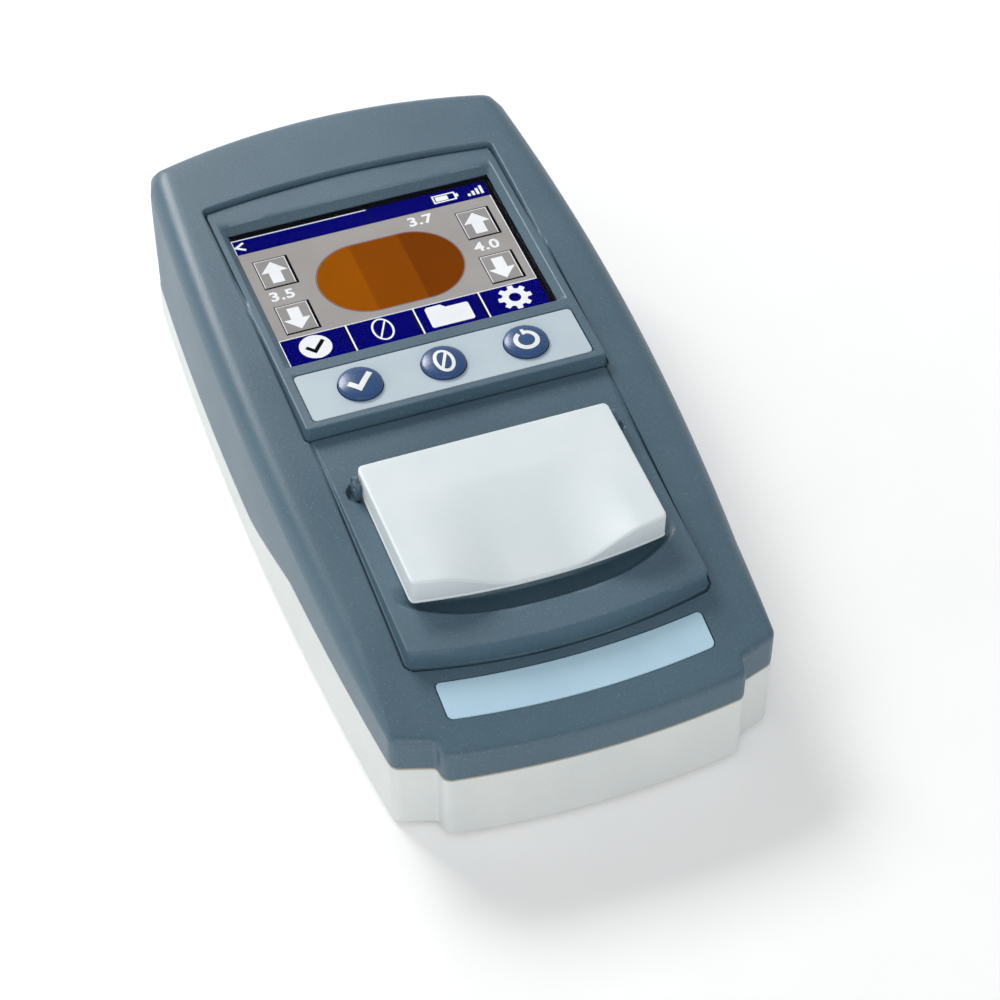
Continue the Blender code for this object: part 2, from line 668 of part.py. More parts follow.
def make_base():
    """The lower shell with its posts, battery opening and seats for feet and screws."""
    foot = inset(OUTLINE, BOTTOM_CHAMFER)
    levels = [
        drafted(foot, FOOT_HEIGHT),
        drafted(OUTLINE, FOOT_HEIGHT + BOTTOM_CHAMFER),
        drafted(OUTLINE, lambda y: seam_z(y) - SEAM_GAP / 2)]
    base = part("base_shell", loft(levels), PALE_GREY)
    wall = inset(OUTLINE, WALL)
    boolean(base, cutter("base_hollow", loft([
        drafted(wall, FLOOR_TOP), drafted(wall, REAR_TOP + OVERRUN)])))

    posts = [
        cylinder(BASE_POST_DIAMETER / 2, FLOOR_TOP - FLOOR / 2, seam_z(y) - SEAM_GAP / 2, side * SCREW_X, y)
        for side in (-1, 1) for y in (SCREW_FRONT_Y, SCREW_REAR_Y)]
    boolean(base, cutter("base_posts", merged(*posts)), "UNION")
    holes = []
    for side in (-1, 1):
        for y in (SCREW_FRONT_Y, SCREW_REAR_Y):
            holes.append(merged_screw_hole(side * SCREW_X, y))
    boolean(base, cutter("base_screw_holes", merged(*holes)))

    seats = [
        cylinder(FOOT_DIAMETER / 2 + GAP, -OVERRUN, FOOT_HEIGHT + FOOT_SEAT, x, y) for x, y in foot_places()]
    boolean(base, cutter("foot_seats", merged(*seats)))
    boolean(base, cutter("battery_opening", door_shape(DOOR_CLEARANCE, -OVERRUN, OVERRUN)))
    ledges = [tongue_box(x, DOOR_CLEARANCE, FLOOR_TOP - DOOR_THICKNESS / 2 - DOOR_CLEARANCE, OVERRUN)
              for x in (-DOOR_TONGUE_PITCH / 2, DOOR_TONGUE_PITCH / 2)]
    boolean(base, cutter("tongue_slots", merged(*ledges)))
    return base


def merged_screw_hole(x, y):
    """A stepped hole for a housing screw, as one turned cutter."""
    seat = FOOT_HEIGHT + SCREW_HEAD_HEIGHT + SCREW_SEAT
    shank, head = SCREW_DIAMETER / 2 + SCREW_CLEARANCE, SCREW_HEAD / 2 + SCREW_CLEARANCE
    profile = [(0, seam_z(y) + OVERRUN), (shank, seam_z(y) + OVERRUN), (shank, seat), (head, seat),
               (head, -OVERRUN), (0, -OVERRUN)]
    return turned(profile, x, y)


def turned(profile, x, y, segments=ROUND_SEGMENTS):
    """A turned solid about a vertical axis; the profile runs from the top down."""
    bm = bmesh.new()
    verts = [bm.verts.new((radius, 0, z)) for radius, z in profile]
    edges = [bm.edges.new(pair) for pair in zip(verts[:-1], verts[1:])]
    bmesh.ops.spin(
        bm, geom=verts + edges, cent=(0, 0, 0), axis=(0, 0, 1), angle=math.radians(360), steps=segments,
        use_merge=True)
    bmesh.ops.remove_doubles(bm, verts=bm.verts, dist=MERGE)
    bmesh.ops.recalc_face_normals(bm, faces=bm.faces)
    bmesh.ops.translate(bm, vec=Vector((x, y, 0)), verts=bm.verts)
    return bm


def foot_places():
    """Centres of the four feet."""
    pairs = ((FOOT_FRONT_X, FOOT_FRONT_Y), (FOOT_REAR_X, FOOT_REAR_Y))
    return [(side * x, y) for x, y in pairs for side in (-1, 1)]


def foil_outline(margin):
    """Half outline of the keypad foil."""
    half, front = FOIL_WIDTH / 2 + margin, KEY_ROW_Y - FOIL_DEPTH / 2 - margin
    rear = KEY_ROW_Y + FOIL_DEPTH / 2 + margin
    return rounded([(0.0, front), (half, front), (half, rear), (0.0, rear)], [0, FOIL_RADIUS, FOIL_RADIUS, 0])


def label_band(margin, low, high):
    """The curved label, grown by a margin, as a loft across X between two functions of y."""
    half, corner = LABEL_HALF_WIDTH + margin, LABEL_RADIUS + margin
    stations = [(half * index / ARC_STATIONS, 0.0) for index in range(ARC_STATIONS)]
    for step in range(ARC_STATIONS):
        angle = math.radians(90) * step / (ARC_STATIONS - 1)
        stations.append((half - corner * (1 - math.sin(angle)), corner * (1 - math.cos(angle))))
    bm = bmesh.new()
    rings = []
    for x, shrink in [(-x, shrink) for x, shrink in stations[:0:-1]] + stations:
        bow = LABEL_ARC_SAG * (x / half) ** 2
        front = LABEL_FRONT + bow - margin + shrink
        rear = LABEL_FRONT + bow + LABEL_DEPTH + margin - shrink
        corners = [(front, low(front)), (rear, low(rear)), (rear, high(rear)), (front, high(front))]
        rings.append([bm.verts.new((x, y, z)) for y, z in corners])
    for ring, following in zip(rings[:-1], rings[1:]):
        for i in range(len(ring)):
            bm.faces.new((ring[i - 1], ring[i], following[i], following[i - 1]))
    bm.faces.new(rings[0])
    bm.faces.new(rings[-1])
    bmesh.ops.triangulate(bm, faces=bm.faces)
    return bm


def make_gasket():
    """The thin light seal that lies in the seam all round."""
    outer, inner = inset(OUTLINE, GAP), inset(OUTLINE, WALL - GAP)
    half = SEAM_GAP / 2 - GAP
    levels = [(outer, -half), (outer, half), (inner, half), (inner, -half)]
    part("seam_gasket", loft([gasket_level(run, shift) for run, shift in levels], ring=True), TAN)


def gasket_level(outline, shift):
    """A half outline that follows the seam at a small height above or below it."""
    return drafted(outline, lambda y: seam_z(y) + shift)


# Panel: window, display, foil and keys

def key_flange_top():
    """Top of the flange that keeps a key under the panel."""
    return PANEL_TOP - FOIL_THICKNESS - GAP - KEY_SKIRT


def make_panel_parts():
    """The pane, the display behind it, its frame and the keypad foil."""
    width, depth = WINDOW_WIDTH + PANE_OVERLAP * 2, WINDOW_DEPTH + PANE_OVERLAP * 2
    part("display_window", box(
        (width, depth, PANE_THICKNESS), (0, WINDOW_CENTRE_Y, PANE_TOP - PANE_THICKNESS / 2)), GLASS)
    part("display_module", box(
        (DISPLAY_WIDTH, DISPLAY_DEPTH, DISPLAY_THICKNESS),
        (0, WINDOW_CENTRE_Y, DISPLAY_TOP - DISPLAY_THICKNESS / 2)), SCREEN)
    frame = part("display_frame", box(
        (DISPLAY_WIDTH, DISPLAY_DEPTH, FRAME_THICKNESS),
        (0, WINDOW_CENTRE_Y, FRAME_TOP - FRAME_THICKNESS / 2)), BLACK)
    boolean(frame, cutter("frame_hole", box(
        (DISPLAY_WIDTH - FRAME_BORDER * 2, DISPLAY_DEPTH - FRAME_BORDER * 2, OVERRUN),
        (0, WINDOW_CENTRE_Y, FRAME_TOP))))

    foil = part("keypad_foil", prism(foil_outline(0.0), PANEL_TOP - FOIL_THICKNESS, PANEL_TOP), FOIL_BLUE)
    holes = [
        cylinder(KEY_DIAMETER / 2 + KEY_CLEARANCE / 2, PANEL_TOP - OVERRUN, PANEL_TOP + OVERRUN, x, KEY_ROW_Y)
        for x in KEY_PLACES.values()]
    boolean(foil, cutter("foil_holes", merged(*holes)))


def make_keys():
    """Three domed keys, each with a flange and a plunger, and their switches."""
    rim = PANEL_TOP + KEY_PROUD
    flange_top = key_flange_top()
    flange_bottom = flange_top - KEY_FLANGE
    switch_top = BOARD_TOP + GAP + SWITCH_HEIGHT
    plunger_end = switch_top + GAP + KEY_TRAVEL
    radius = KEY_DIAMETER / 2
    for name, x in KEY_PLACES.items():
        dome = [
            (radius * math.sin(math.radians(angle)), rim + KEY_DOME * math.cos(math.radians(angle)))
            for angle in KEY_DOME_ANGLES]
        profile = dome + [
            (radius, flange_top), (radius + KEY_FLANGE, flange_top), (radius + KEY_FLANGE, flange_bottom),
            (PLUNGER_DIAMETER / 2, flange_bottom), (PLUNGER_DIAMETER / 2, plunger_end), (0, plunger_end)]
        part("key_" + name, turned(profile, x, KEY_ROW_Y), KEY_BLUE)
        switch = box(
            (SWITCH_SIZE, SWITCH_SIZE, SWITCH_HEIGHT), (x, KEY_ROW_Y, BOARD_TOP + GAP + SWITCH_HEIGHT / 2))
        part("switch_" + name, switch, BLACK)


# Lid

def lid_frame():
    """Place of the lid: its hinge axis, tilted like the plateau."""
    y = LID_REAR_Y - HINGE_RADIUS
    z = plateau_z(y) + (LID_GAP + HINGE_RADIUS) / math.cos(PLATEAU_ANGLE)
    return Matrix.Translation((0, y, z)) @ Matrix.Rotation(PLATEAU_ANGLE, 4, "X")


def lid_top(y):
    """Height of the lid's top above the hinge axis, in the lid's own frame."""
    share = (HINGE_RADIUS - y) / LID_LENGTH
    return LID_REAR_THICKNESS - HINGE_RADIUS + (LID_FRONT_THICKNESS - LID_REAR_THICKNESS) * share


def make_lid():
    """The hinged lid, its pin and the lugs' holes, in a frame on the hinge axis."""
    front = HINGE_RADIUS - LID_LENGTH
    outline = rounded(
        arc_run(LID_HALF_WIDTH, front, LID_ARC_SAG, ARC_STATIONS)
        + [(LID_HALF_WIDTH, HINGE_RADIUS), (0.0, HINGE_RADIUS)],
        [0] * ARC_STATIONS + [LID_CORNER_RADIUS, LID_CORNER_RADIUS, 0])
    lid = part("sample_lid", prism(outline, -HINGE_RADIUS, lid_top), PALE_WHITE)

    hollow_rear = -HINGE_RADIUS * 2
    hollow_front = front + LID_ARC_SAG + LID_WALL
    hollow_half = LID_HALF_WIDTH - LID_WALL
    room_front = WELL_CENTRE_Y - WELL_DEPTH / 2 - WELL_WALL / 2 - (LID_REAR_Y - HINGE_RADIUS)
    room_half = WELL_WIDTH / 2 + WELL_WALL
    tools = [
        cutter("lid_rim_hollow", span_box(
            (-hollow_half, hollow_front, -OVERRUN), (hollow_half, hollow_rear, LID_RIM_ROOM - HINGE_RADIUS))),
        cutter("lid_cell_room", prism(
            [(0.0, room_front), (room_half, room_front), (room_half, hollow_rear), (0.0, hollow_rear)],
            -OVERRUN, lambda y: lid_top(y) - LID_SKIN))]

    radius = (SCOOP_HALF_WIDTH ** 2 + SCOOP_DEPTH ** 2) / (2 * SCOOP_DEPTH)
    tilt = math.atan2(SCOOP_DEPTH, SCOOP_LENGTH)
    scoop = cone(radius, radius, BODY_LENGTH, (0, 0, radius), axis="Y", segments=SCOOP_SEGMENTS)
    bmesh.ops.rotate(scoop, matrix=Matrix.Rotation(tilt, 3, "X"), verts=scoop.verts)
    scoop_z = lid_top(front) - SCOOP_DEPTH
    bmesh.ops.translate(scoop, vec=Vector((0, front, scoop_z)), verts=scoop.verts)
    tools.append(cutter("lid_scoop", scoop))

    hinge_length = LID_HALF_WIDTH * 2 + OVERRUN
    corner = span_box((-LID_HALF_WIDTH - WALL, 0, -HINGE_RADIUS - WALL), (LID_HALF_WIDTH + WALL, WALL * 2, 0))
    tools.append(cutter("lid_knuckle", corner))
    round_tool = cutter("lid_knuckle_core", cone(
        HINGE_RADIUS + MERGE, HINGE_RADIUS + MERGE, hinge_length, (0, 0, 0), axis="X"))
    boolean(tools[-1], round_tool)
    tools.append(cutter("lid_pin_hole", cone(
        PIN_RADIUS + PIN_CLEARANCE, PIN_RADIUS + PIN_CLEARANCE, hinge_length, (0, 0, 0), axis="X")))
    for tool in tools:
        boolean(lid, tool)

    reach = LID_HALF_WIDTH + LUG_GAP + LUG_WIDTH
    pin = part("lid_hinge_pin", cone(
        PIN_RADIUS, PIN_RADIUS, (reach - GAP) * 2, (0, 0, 0), axis="X"), STEEL)

    place = lid_frame()
    for piece in [lid, pin, round_tool] + tools:
        piece.matrix_world = place
    return reach, place


def add_lugs(cover, reach, place):
    """Two lugs beside the lid that carry its pin, joined to the plateau."""
    for side, name in ((-1, "left"), (1, "right")):
        centre = side * (reach - LUG_WIDTH / 2)
        lug = cone(HINGE_RADIUS, HINGE_RADIUS, LUG_WIDTH, (centre, 0, 0), axis="X")
        for vert in lug.verts:
            if vert.co.z < -MERGE:
                vert.co.z = -HINGE_RADIUS - LID_GAP - LUG_ROOT
        tool = cutter("hinge_lug_" + name, lug)
        tool.matrix_world = place
        boolean(cover, tool, "UNION")
    bore = cutter("lug_bore", cone(
        PIN_RADIUS + PIN_CLEARANCE, PIN_RADIUS + PIN_CLEARANCE, (reach + OVERRUN) * 2, (0, 0, 0), axis="X"))
    bore.matrix_world = place
    boolean(cover, bore)


# Sample well and optics

def make_well():
    """The light-tight well for one glass cell, open at its top and bottom."""
    outer = (WELL_WIDTH / 2 + WELL_WALL, WELL_DEPTH / 2 + WELL_WALL)
    low = FLOOR_TOP + GAP
    outline = [(0.0, WELL_CENTRE_Y - outer[1]), (outer[0], WELL_CENTRE_Y - outer[1]),
               (outer[0], WELL_CENTRE_Y + outer[1]), (0.0, WELL_CENTRE_Y + outer[1])]
    well = part("sample_well", prism(outline, low, plateau_z), BLACK)
    boolean(well, cutter("well_hole", box(
        (WELL_WIDTH, WELL_DEPTH, BODY_LENGTH), (0, WELL_CENTRE_Y, low))))
    beam = cone(BEAM_DIAMETER / 2, BEAM_DIAMETER / 2, BODY_WIDTH, (0, WELL_CENTRE_Y, BEAM_HEIGHT), axis="X")
    boolean(well, cutter("beam_hole", beam))
    for side, name in ((1, "source"), (-1, "detector")):
        seat_x = side * (outer[0] - LENS_SEAT + OVERRUN / 2)
        seat = cone(
            LENS_DIAMETER / 2 + GAP, LENS_DIAMETER / 2 + GAP, OVERRUN, (seat_x, WELL_CENTRE_Y, BEAM_HEIGHT),
            axis="X")
        boolean(well, cutter(name + "_seat", seat))
        lens_x = side * (outer[0] - LENS_SEAT + GAP + LENS_THICKNESS / 2)
        lens = cone(
            LENS_DIAMETER / 2, LENS_DIAMETER / 2, LENS_THICKNESS, (lens_x, WELL_CENTRE_Y, BEAM_HEIGHT),
            axis="X")
        part(name + "_window", lens, GLASS)
    lens_end = outer[0] - LENS_SEAT + GAP + LENS_THICKNESS + GAP
    make_source(lens_end)
    make_detector(lens_end)
    make_seal()


def make_source(start):
    """The lamp and its board, on the well's right side."""
    lamp = cone(
        LAMP_DIAMETER / 2, LAMP_DIAMETER / 2, LAMP_LENGTH,
        (start + LAMP_LENGTH / 2, WELL_CENTRE_Y, BEAM_HEIGHT), axis="X")
    part("source_lamp", lamp, LAMP_WHITE)
    board_x = start + LAMP_LENGTH + GAP + BOARD_THICKNESS / 2
    part("source_board", optic_board(board_x), BOARD_GREEN)


def make_detector(start):
    """The colour sensor and its board, on the well's left side."""
    sensor = box(
        (SENSOR_THICKNESS, SENSOR_SIZE, SENSOR_SIZE),
        (-start - SENSOR_THICKNESS / 2, WELL_CENTRE_Y, BEAM_HEIGHT))
    part("detector_sensor", sensor, BLACK)
    board_x = -start - SENSOR_THICKNESS - GAP - BOARD_THICKNESS / 2
    part("detector_board", optic_board(board_x), BOARD_GREEN)


def optic_board(x):
    """A small upright board at the given x, centred on the beam and standing on the floor."""
    low = FLOOR_TOP + GAP
    return span_box(
        (x - BOARD_THICKNESS / 2, WELL_CENTRE_Y - OPTIC_BOARD_WIDTH / 2, low),
        (x + BOARD_THICKNESS / 2, WELL_CENTRE_Y + OPTIC_BOARD_WIDTH / 2, low + OPTIC_BOARD_HEIGHT))


def make_seal():
    """The soft light seal on the plateau, round the well's mouth."""
    inner = (WELL_WIDTH / 2 + WELL_WALL + SEAL_MARGIN, WELL_DEPTH / 2 + WELL_WALL + SEAL_MARGIN)
    outer = (inner[0] + SEAL_WIDTH, inner[1] + SEAL_WIDTH)
    y = WELL_CENTRE_Y
    corners = [(0.0, y - outer[1]), (outer[0], y - outer[1]), (outer[0], y + outer[1]), (0.0, y + outer[1])]
    seal = part("light_seal", prism(
        corners, lambda v: plateau_z(v) + GAP, lambda v: plateau_z(v) + GAP + SEAL_HEIGHT), RUBBER)
    boolean(seal, cutter("seal_hole", box((inner[0] * 2, inner[1] * 2, BODY_LENGTH), (0, y, 0))))


# Boards and socket

def make_main_board():
    """The board under the panel, its screws, its buzzer and the data socket."""
    half = MAIN_BOARD_WIDTH / 2
    board = part("main_board", span_box(
        (-half, MAIN_BOARD_FRONT, BOARD_BOTTOM), (half, MAIN_BOARD_REAR, BOARD_TOP)), BOARD_GREEN)
    places = board_screw_places()
    bore = BOARD_SCREW_DIAMETER / 2 + SCREW_CLEARANCE
    holes = [cylinder(bore, -OVERRUN, REAR_TOP, x, y) for x, y in places]
    boolean(board, cutter("board_holes", merged(*holes)))
    for index, (x, y) in enumerate(places, 1):
        head_top = BOARD_BOTTOM - GAP
        part("board_screw_%d" % index, screw(
            x, y, head_top, BOARD_SCREW_HEAD, BOARD_SCREW_DIAMETER, BOARD_SCREW_LENGTH), STEEL)

    buzzer_y = MAIN_BOARD_REAR - BUZZER_DIAMETER
    buzzer_top = BOARD_BOTTOM - GAP
    part("buzzer", cylinder(
        BUZZER_DIAMETER / 2, buzzer_top - BUZZER_HEIGHT, buzzer_top, -BUZZER_DIAMETER, buzzer_y), BLACK)

    z = BOARD_TOP + USB_HEIGHT / 2 + GAP
    rear = HALF_LENGTH - GAP
    y = rear - USB_LENGTH / 2
    socket = part("usb_socket", box((USB_WIDTH, USB_LENGTH, USB_HEIGHT), (0, y, z)), STEEL)
    room = (USB_WIDTH - USB_WALL * 2, USB_LENGTH, USB_HEIGHT - USB_WALL * 2)
    boolean(socket, cutter("usb_room", box(room, (0, y + USB_WALL, z))))
    tongue = box((room[0] - USB_WALL * 4, USB_LENGTH - USB_WALL, USB_TONGUE), (0, y - USB_WALL / 2, z))
    boolean(socket, cutter("usb_tongue", tongue), "UNION")


def screw(x, y, head_top, head, shank, length):
    """A pan-head screw that points up, with a hexagon socket in its head."""
    head_bottom = head_top - SCREW_HEAD_HEIGHT
    socket_top = head_bottom + SCREW_HEAD_HEIGHT * SOCKET_DEPTH_SHARE
    socket = head / 2 * SOCKET_SHARE
    profile = [
        (0, head_top + length), (shank / 2, head_top + length), (shank / 2, head_top), (head / 2, head_top),
        (head / 2, head_bottom), (socket, head_bottom), (socket, socket_top), (0, socket_top)]
    return turned(profile, x, y, segments=ROUND_SEGMENTS // 2)


# Batteries

def make_batteries():
    """The tray, its contact strips, the cells and the door below them."""
    half_width = CELL_PITCH * CELL_COUNT / 2 + TRAY_WALL
    inner_half = (CELL_LENGTH + CELL_NUB_LENGTH) / 2 + CONTACT_ROOM
    half_depth = inner_half + TRAY_WALL
    low, roof = FLOOR_TOP + GAP, CELL_Z + CELL_DIAMETER / 2 + GAP
    tray = part("battery_tray", span_box(
        (-half_width, TRAY_CENTRE_Y - half_depth, low),
        (half_width, TRAY_CENTRE_Y + half_depth, roof + TRAY_WALL)), BLACK)
    boolean(tray, cutter("tray_room", span_box(
        (-half_width + TRAY_WALL, TRAY_CENTRE_Y - inner_half, low - OVERRUN),
        (half_width - TRAY_WALL, TRAY_CENTRE_Y + inner_half, roof))))

    strip_width = (half_width - TRAY_WALL - GAP) * 2
    for side, name in ((-1, "front"), (1, "rear")):
        y = TRAY_CENTRE_Y + side * (inner_half - GAP - CONTACT_THICKNESS / 2)
        strip = part("contact_" + name, box(
            (strip_width, CONTACT_THICKNESS, CELL_DIAMETER), (0, y, CELL_Z)), STEEL)
        bumps = []
        for x in cell_places():
            reach = CONTACT_THICKNESS / 2 + CONTACT_BUMP
            bumps.append(cone(
                CONTACT_BUMP_DIAMETER / 2, CONTACT_BUMP_DIAMETER / 2, reach,
                (x, y - side * reach / 2, CELL_Z), axis="Y", segments=ROUND_SEGMENTS // 2))
        boolean(strip, cutter("contact_bumps_" + name, merged(*bumps)), "UNION")

    for index, x in enumerate(cell_places()):
        way = 1 if index % 2 else -1
        centre = TRAY_CENTRE_Y - way * CELL_NUB_LENGTH / 2
        cell = part("battery_cell_%d" % (index + 1), cone(
            CELL_DIAMETER / 2, CELL_DIAMETER / 2, CELL_LENGTH, (x, centre, CELL_Z), axis="Y"), CELL_WRAP)
        nub_y = centre + way * CELL_LENGTH / 2
        nub = cone(
            CELL_NUB_DIAMETER / 2, CELL_NUB_DIAMETER / 2, CELL_NUB_LENGTH * 2, (x, nub_y, CELL_Z), axis="Y",
            segments=ROUND_SEGMENTS // 2)
        boolean(cell, cutter("cell_nub_%d" % (index + 1), nub), "UNION")
    make_door()


def cell_places():
    """X of each battery cell."""
    return [CELL_PITCH * (index - (CELL_COUNT - 1) / 2) for index in range(CELL_COUNT)]


def door_shape(margin, low, high):
    """The battery door's plan, grown by a margin, between two heights."""
    half, depth = DOOR_WIDTH / 2 + margin, DOOR_DEPTH / 2 + margin
    front, rear = TRAY_CENTRE_Y - depth, TRAY_CENTRE_Y + depth
    corner = DOOR_RADIUS + margin
    outline = rounded([(0.0, front), (half, front), (half, rear), (0.0, rear)], [0, corner, corner, 0])
    return prism(outline, low, high)


def tongue_box(x, margin, low, high):
    """A tongue at the door's front edge, grown by a margin."""
    front = TRAY_CENTRE_Y - DOOR_DEPTH / 2
    half = DOOR_TONGUE_WIDTH / 2 + margin
    return span_box((x - half, front - DOOR_TONGUE_REACH - margin, low), (x + half, front + WALL, high))


def make_door():
    """The battery door, hooked in at its front edge by two tongues."""
    low = FOOT_HEIGHT
    door = part("battery_door", door_shape(0.0, low, low + DOOR_THICKNESS), PALE_GREY)
    for x in (-DOOR_TONGUE_PITCH / 2, DOOR_TONGUE_PITCH / 2):
        tool = tongue_box(x, 0.0, low + DOOR_THICKNESS / 2, low + DOOR_THICKNESS + DOOR_TONGUE_RISE)
        boolean(door, cutter("door_tongue", tool), "UNION")
    rib = box(
        (DOOR_WIDTH - DOOR_RIB_INSET * 2, TRAY_WALL, DOOR_RIB_HEIGHT + DOOR_THICKNESS / 2),
        (0, TRAY_CENTRE_Y, low + DOOR_THICKNESS + DOOR_RIB_HEIGHT / 2 - DOOR_THICKNESS / 4))
    boolean(door, cutter("door_rib", rib), "UNION")
    grip_y = TRAY_CENTRE_Y + DOOR_DEPTH / 2 - DOOR_GRIP_DEPTH
    grip = span_box(
        (-DOOR_GRIP_WIDTH / 2, grip_y - DOOR_GRIP_DEPTH / 2, -OVERRUN),
        (DOOR_GRIP_WIDTH / 2, grip_y + DOOR_GRIP_DEPTH / 2, low + DOOR_GRIP_RECESS))
    boolean(door, cutter("door_grip", grip))


# Feet, screws and label

def make_feet():
    """Four rubber feet in their seats."""
    for index, (x, y) in enumerate(foot_places(), 1):
        foot = cylinder(FOOT_DIAMETER / 2, 0, FOOT_HEIGHT + FOOT_SEAT - GAP, x, y)
        part("foot_%d" % index, foot, RUBBER)


def make_housing_screws():
    """Four screws that draw the base up against the cover's posts."""
    index = 1
    for y in (SCREW_FRONT_Y, SCREW_REAR_Y):
        for side in (-1, 1):
            head_top = FOOT_HEIGHT + SCREW_HEAD_HEIGHT + SCREW_SEAT - GAP
            length = seam_z(y) + SEAM_GAP + SCREW_ENGAGEMENT - head_top
            part("housing_screw_%d" % index, screw(
                side * SCREW_X, y, head_top, SCREW_HEAD, SCREW_DIAMETER, length), STEEL)
            index += 1


def make_label():
    """The blank label in its pocket on the sloping front."""
    part("front_label", label_band(0.0, lambda y: top_z(y) - LABEL_THICKNESS, top_z), LABEL_BLUE)


for old in list(bpy.data.objects):
    bpy.data.objects.remove(old)

parts = collection("petroleum_colorimeter")
cutters = collection("cutters")

SLATE = material("slate_plastic", (0.10, 0.15, 0.18), 0.5)
PALE_GREY = material("pale_grey_plastic", (0.62, 0.65, 0.65), 0.45)
PALE_WHITE = material("pale_white_plastic", (0.70, 0.75, 0.77), 0.4)
TAN = material("tan_elastomer", (0.45, 0.40, 0.33), 0.7)
GLASS = material("clear_pane", (0.80, 0.85, 0.88), 0.05)
SCREEN = material("display_face", (0.02, 0.02, 0.03), 0.3)
BLACK = material("black_plastic", (0.02, 0.02, 0.02), 0.5)
FOIL_BLUE = material("keypad_foil", (0.50, 0.60, 0.65), 0.45)
KEY_BLUE = material("key_blue", (0.03, 0.08, 0.25), 0.3)
STEEL = material("steel", (0.60, 0.60, 0.60), 0.3, 1.0)
LAMP_WHITE = material("lamp_epoxy", (0.85, 0.85, 0.80), 0.2)
BOARD_GREEN = material("board_green", (0.03, 0.20, 0.08), 0.5)
CELL_WRAP = material("cell_wrap", (0.25, 0.26, 0.28), 0.35)
RUBBER = material("rubber", (0.03, 0.03, 0.03), 0.85)
LABEL_BLUE = material("label_blue", (0.35, 0.50, 0.62), 0.45)

OUTLINE = body_outline()
KEY_PLACES = {"check": -KEY_PITCH, "zero": 0.0, "power": KEY_PITCH}

top_cover = make_cover()
make_base()
make_gasket()
make_panel_parts()
make_keys()
lug_reach, hinge_place = make_lid()
add_lugs(top_cover, lug_reach, hinge_place)
make_well()
make_main_board()
make_batteries()
make_feet()
make_housing_screws()
make_label()
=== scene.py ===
"""Dressed model of a handheld bench colorimeter for petroleum products.

Lengths are in millimetres until a mesh is made, where MM turns them to metres.
X runs across the instrument, Y to its rear, and Z is up.
"""
import math

import bpy
import numpy as np
from mathutils import Matrix, Vector
from mathutils.geometry import delaunay_2d_cdt


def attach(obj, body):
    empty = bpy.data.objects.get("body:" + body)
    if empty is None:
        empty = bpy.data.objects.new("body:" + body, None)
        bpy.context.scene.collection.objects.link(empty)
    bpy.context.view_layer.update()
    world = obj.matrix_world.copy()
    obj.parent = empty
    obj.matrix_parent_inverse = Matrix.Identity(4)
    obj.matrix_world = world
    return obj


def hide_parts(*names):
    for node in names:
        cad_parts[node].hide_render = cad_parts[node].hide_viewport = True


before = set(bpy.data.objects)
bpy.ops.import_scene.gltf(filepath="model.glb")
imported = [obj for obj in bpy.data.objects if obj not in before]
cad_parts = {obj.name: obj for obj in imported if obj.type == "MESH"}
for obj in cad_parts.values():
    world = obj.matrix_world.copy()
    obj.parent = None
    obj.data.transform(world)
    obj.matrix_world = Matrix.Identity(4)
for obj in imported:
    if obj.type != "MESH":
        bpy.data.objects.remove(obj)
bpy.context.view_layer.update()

MM = 0.001


# Sizes of the body

HALF_LENGTH = 96.5
HALF_WIDTH = 48.7
SIDE_BOW = 3.6
SIDE_ARC_HALF = 84.0
FRONT_ARC = (35.3, 2.9)
REAR_ARC = (40.0, 5.3)
REAR_TOP = 45.0
TOP_DROP = 18.8
TOP_CURVE_POWER = 2.25
FRONT_SEAM = 18.8
REAR_SEAM = 10.0
SEAM_BREAK = (-31.0, 6.0)
SEAM_HALF_GAP = 0.22
SHELL_WALL = 2.0
FRONT_FILLET = 1.4
SIDE_FILLET = 4.8
FILLET_RANGE = (-85.0, -60.0)
DRAFT = 1.2
DRAFT_HEIGHT = 38.0
BASE_BOTTOM = 0.8
BASE_EDGE = 0.5
RIM_EDGE = 0.25

PANEL_TOP = 43.6
PANEL_HALF = 36.2
PANEL_FRONT = -6.504
PANEL_REAR = 73.707
PANEL_SAG = 2.8
WINDOW_HALF = (32.5, 23.7)
WINDOW_Y = 39.507
WINDOW_BEVEL = 1.6
KEY_Y = 3.3
KEY_PLACES = {"check": -20.0, "zero": 0.0, "power": 20.0}
KEY_RADIUS = 5.153
KEY_RIM = 44.3
KEY_DOME = 0.85
FOIL_HALF = (33.6, 7.652)
FOIL_GAP = 0.3
PLATEAU_HALF = 35.0
PLATEAU_FRONT = -74.9
PLATEAU_SAG = 4.3
WELL_Y = -40.806
MOUTH_HALF = (19.4, 8.404)
LID_PLACE = (0.0, -24.502, 41.916)
HINGE_POCKET = (29.6, 3.0, 1.5)
RECESS_HALF = 32.6
RECESS_EDGE = (-61.6, 3.9)
RECESS_REACH = 4.8
RECESS_DEPTH = 3.0
LABEL_HALF = 30.8
LABEL_FRONT = -87.5
LABEL_DEPTH = 9.2
LABEL_SAG = 2.3
LABEL_CORNER = 1.2
EDGE_OFFSETS = (-0.9, -0.6, -0.4, -0.3, -0.2, -0.1, 0.0, 0.1, 0.2, 0.3, 0.4, 0.6, 0.9)


# Mesh helpers

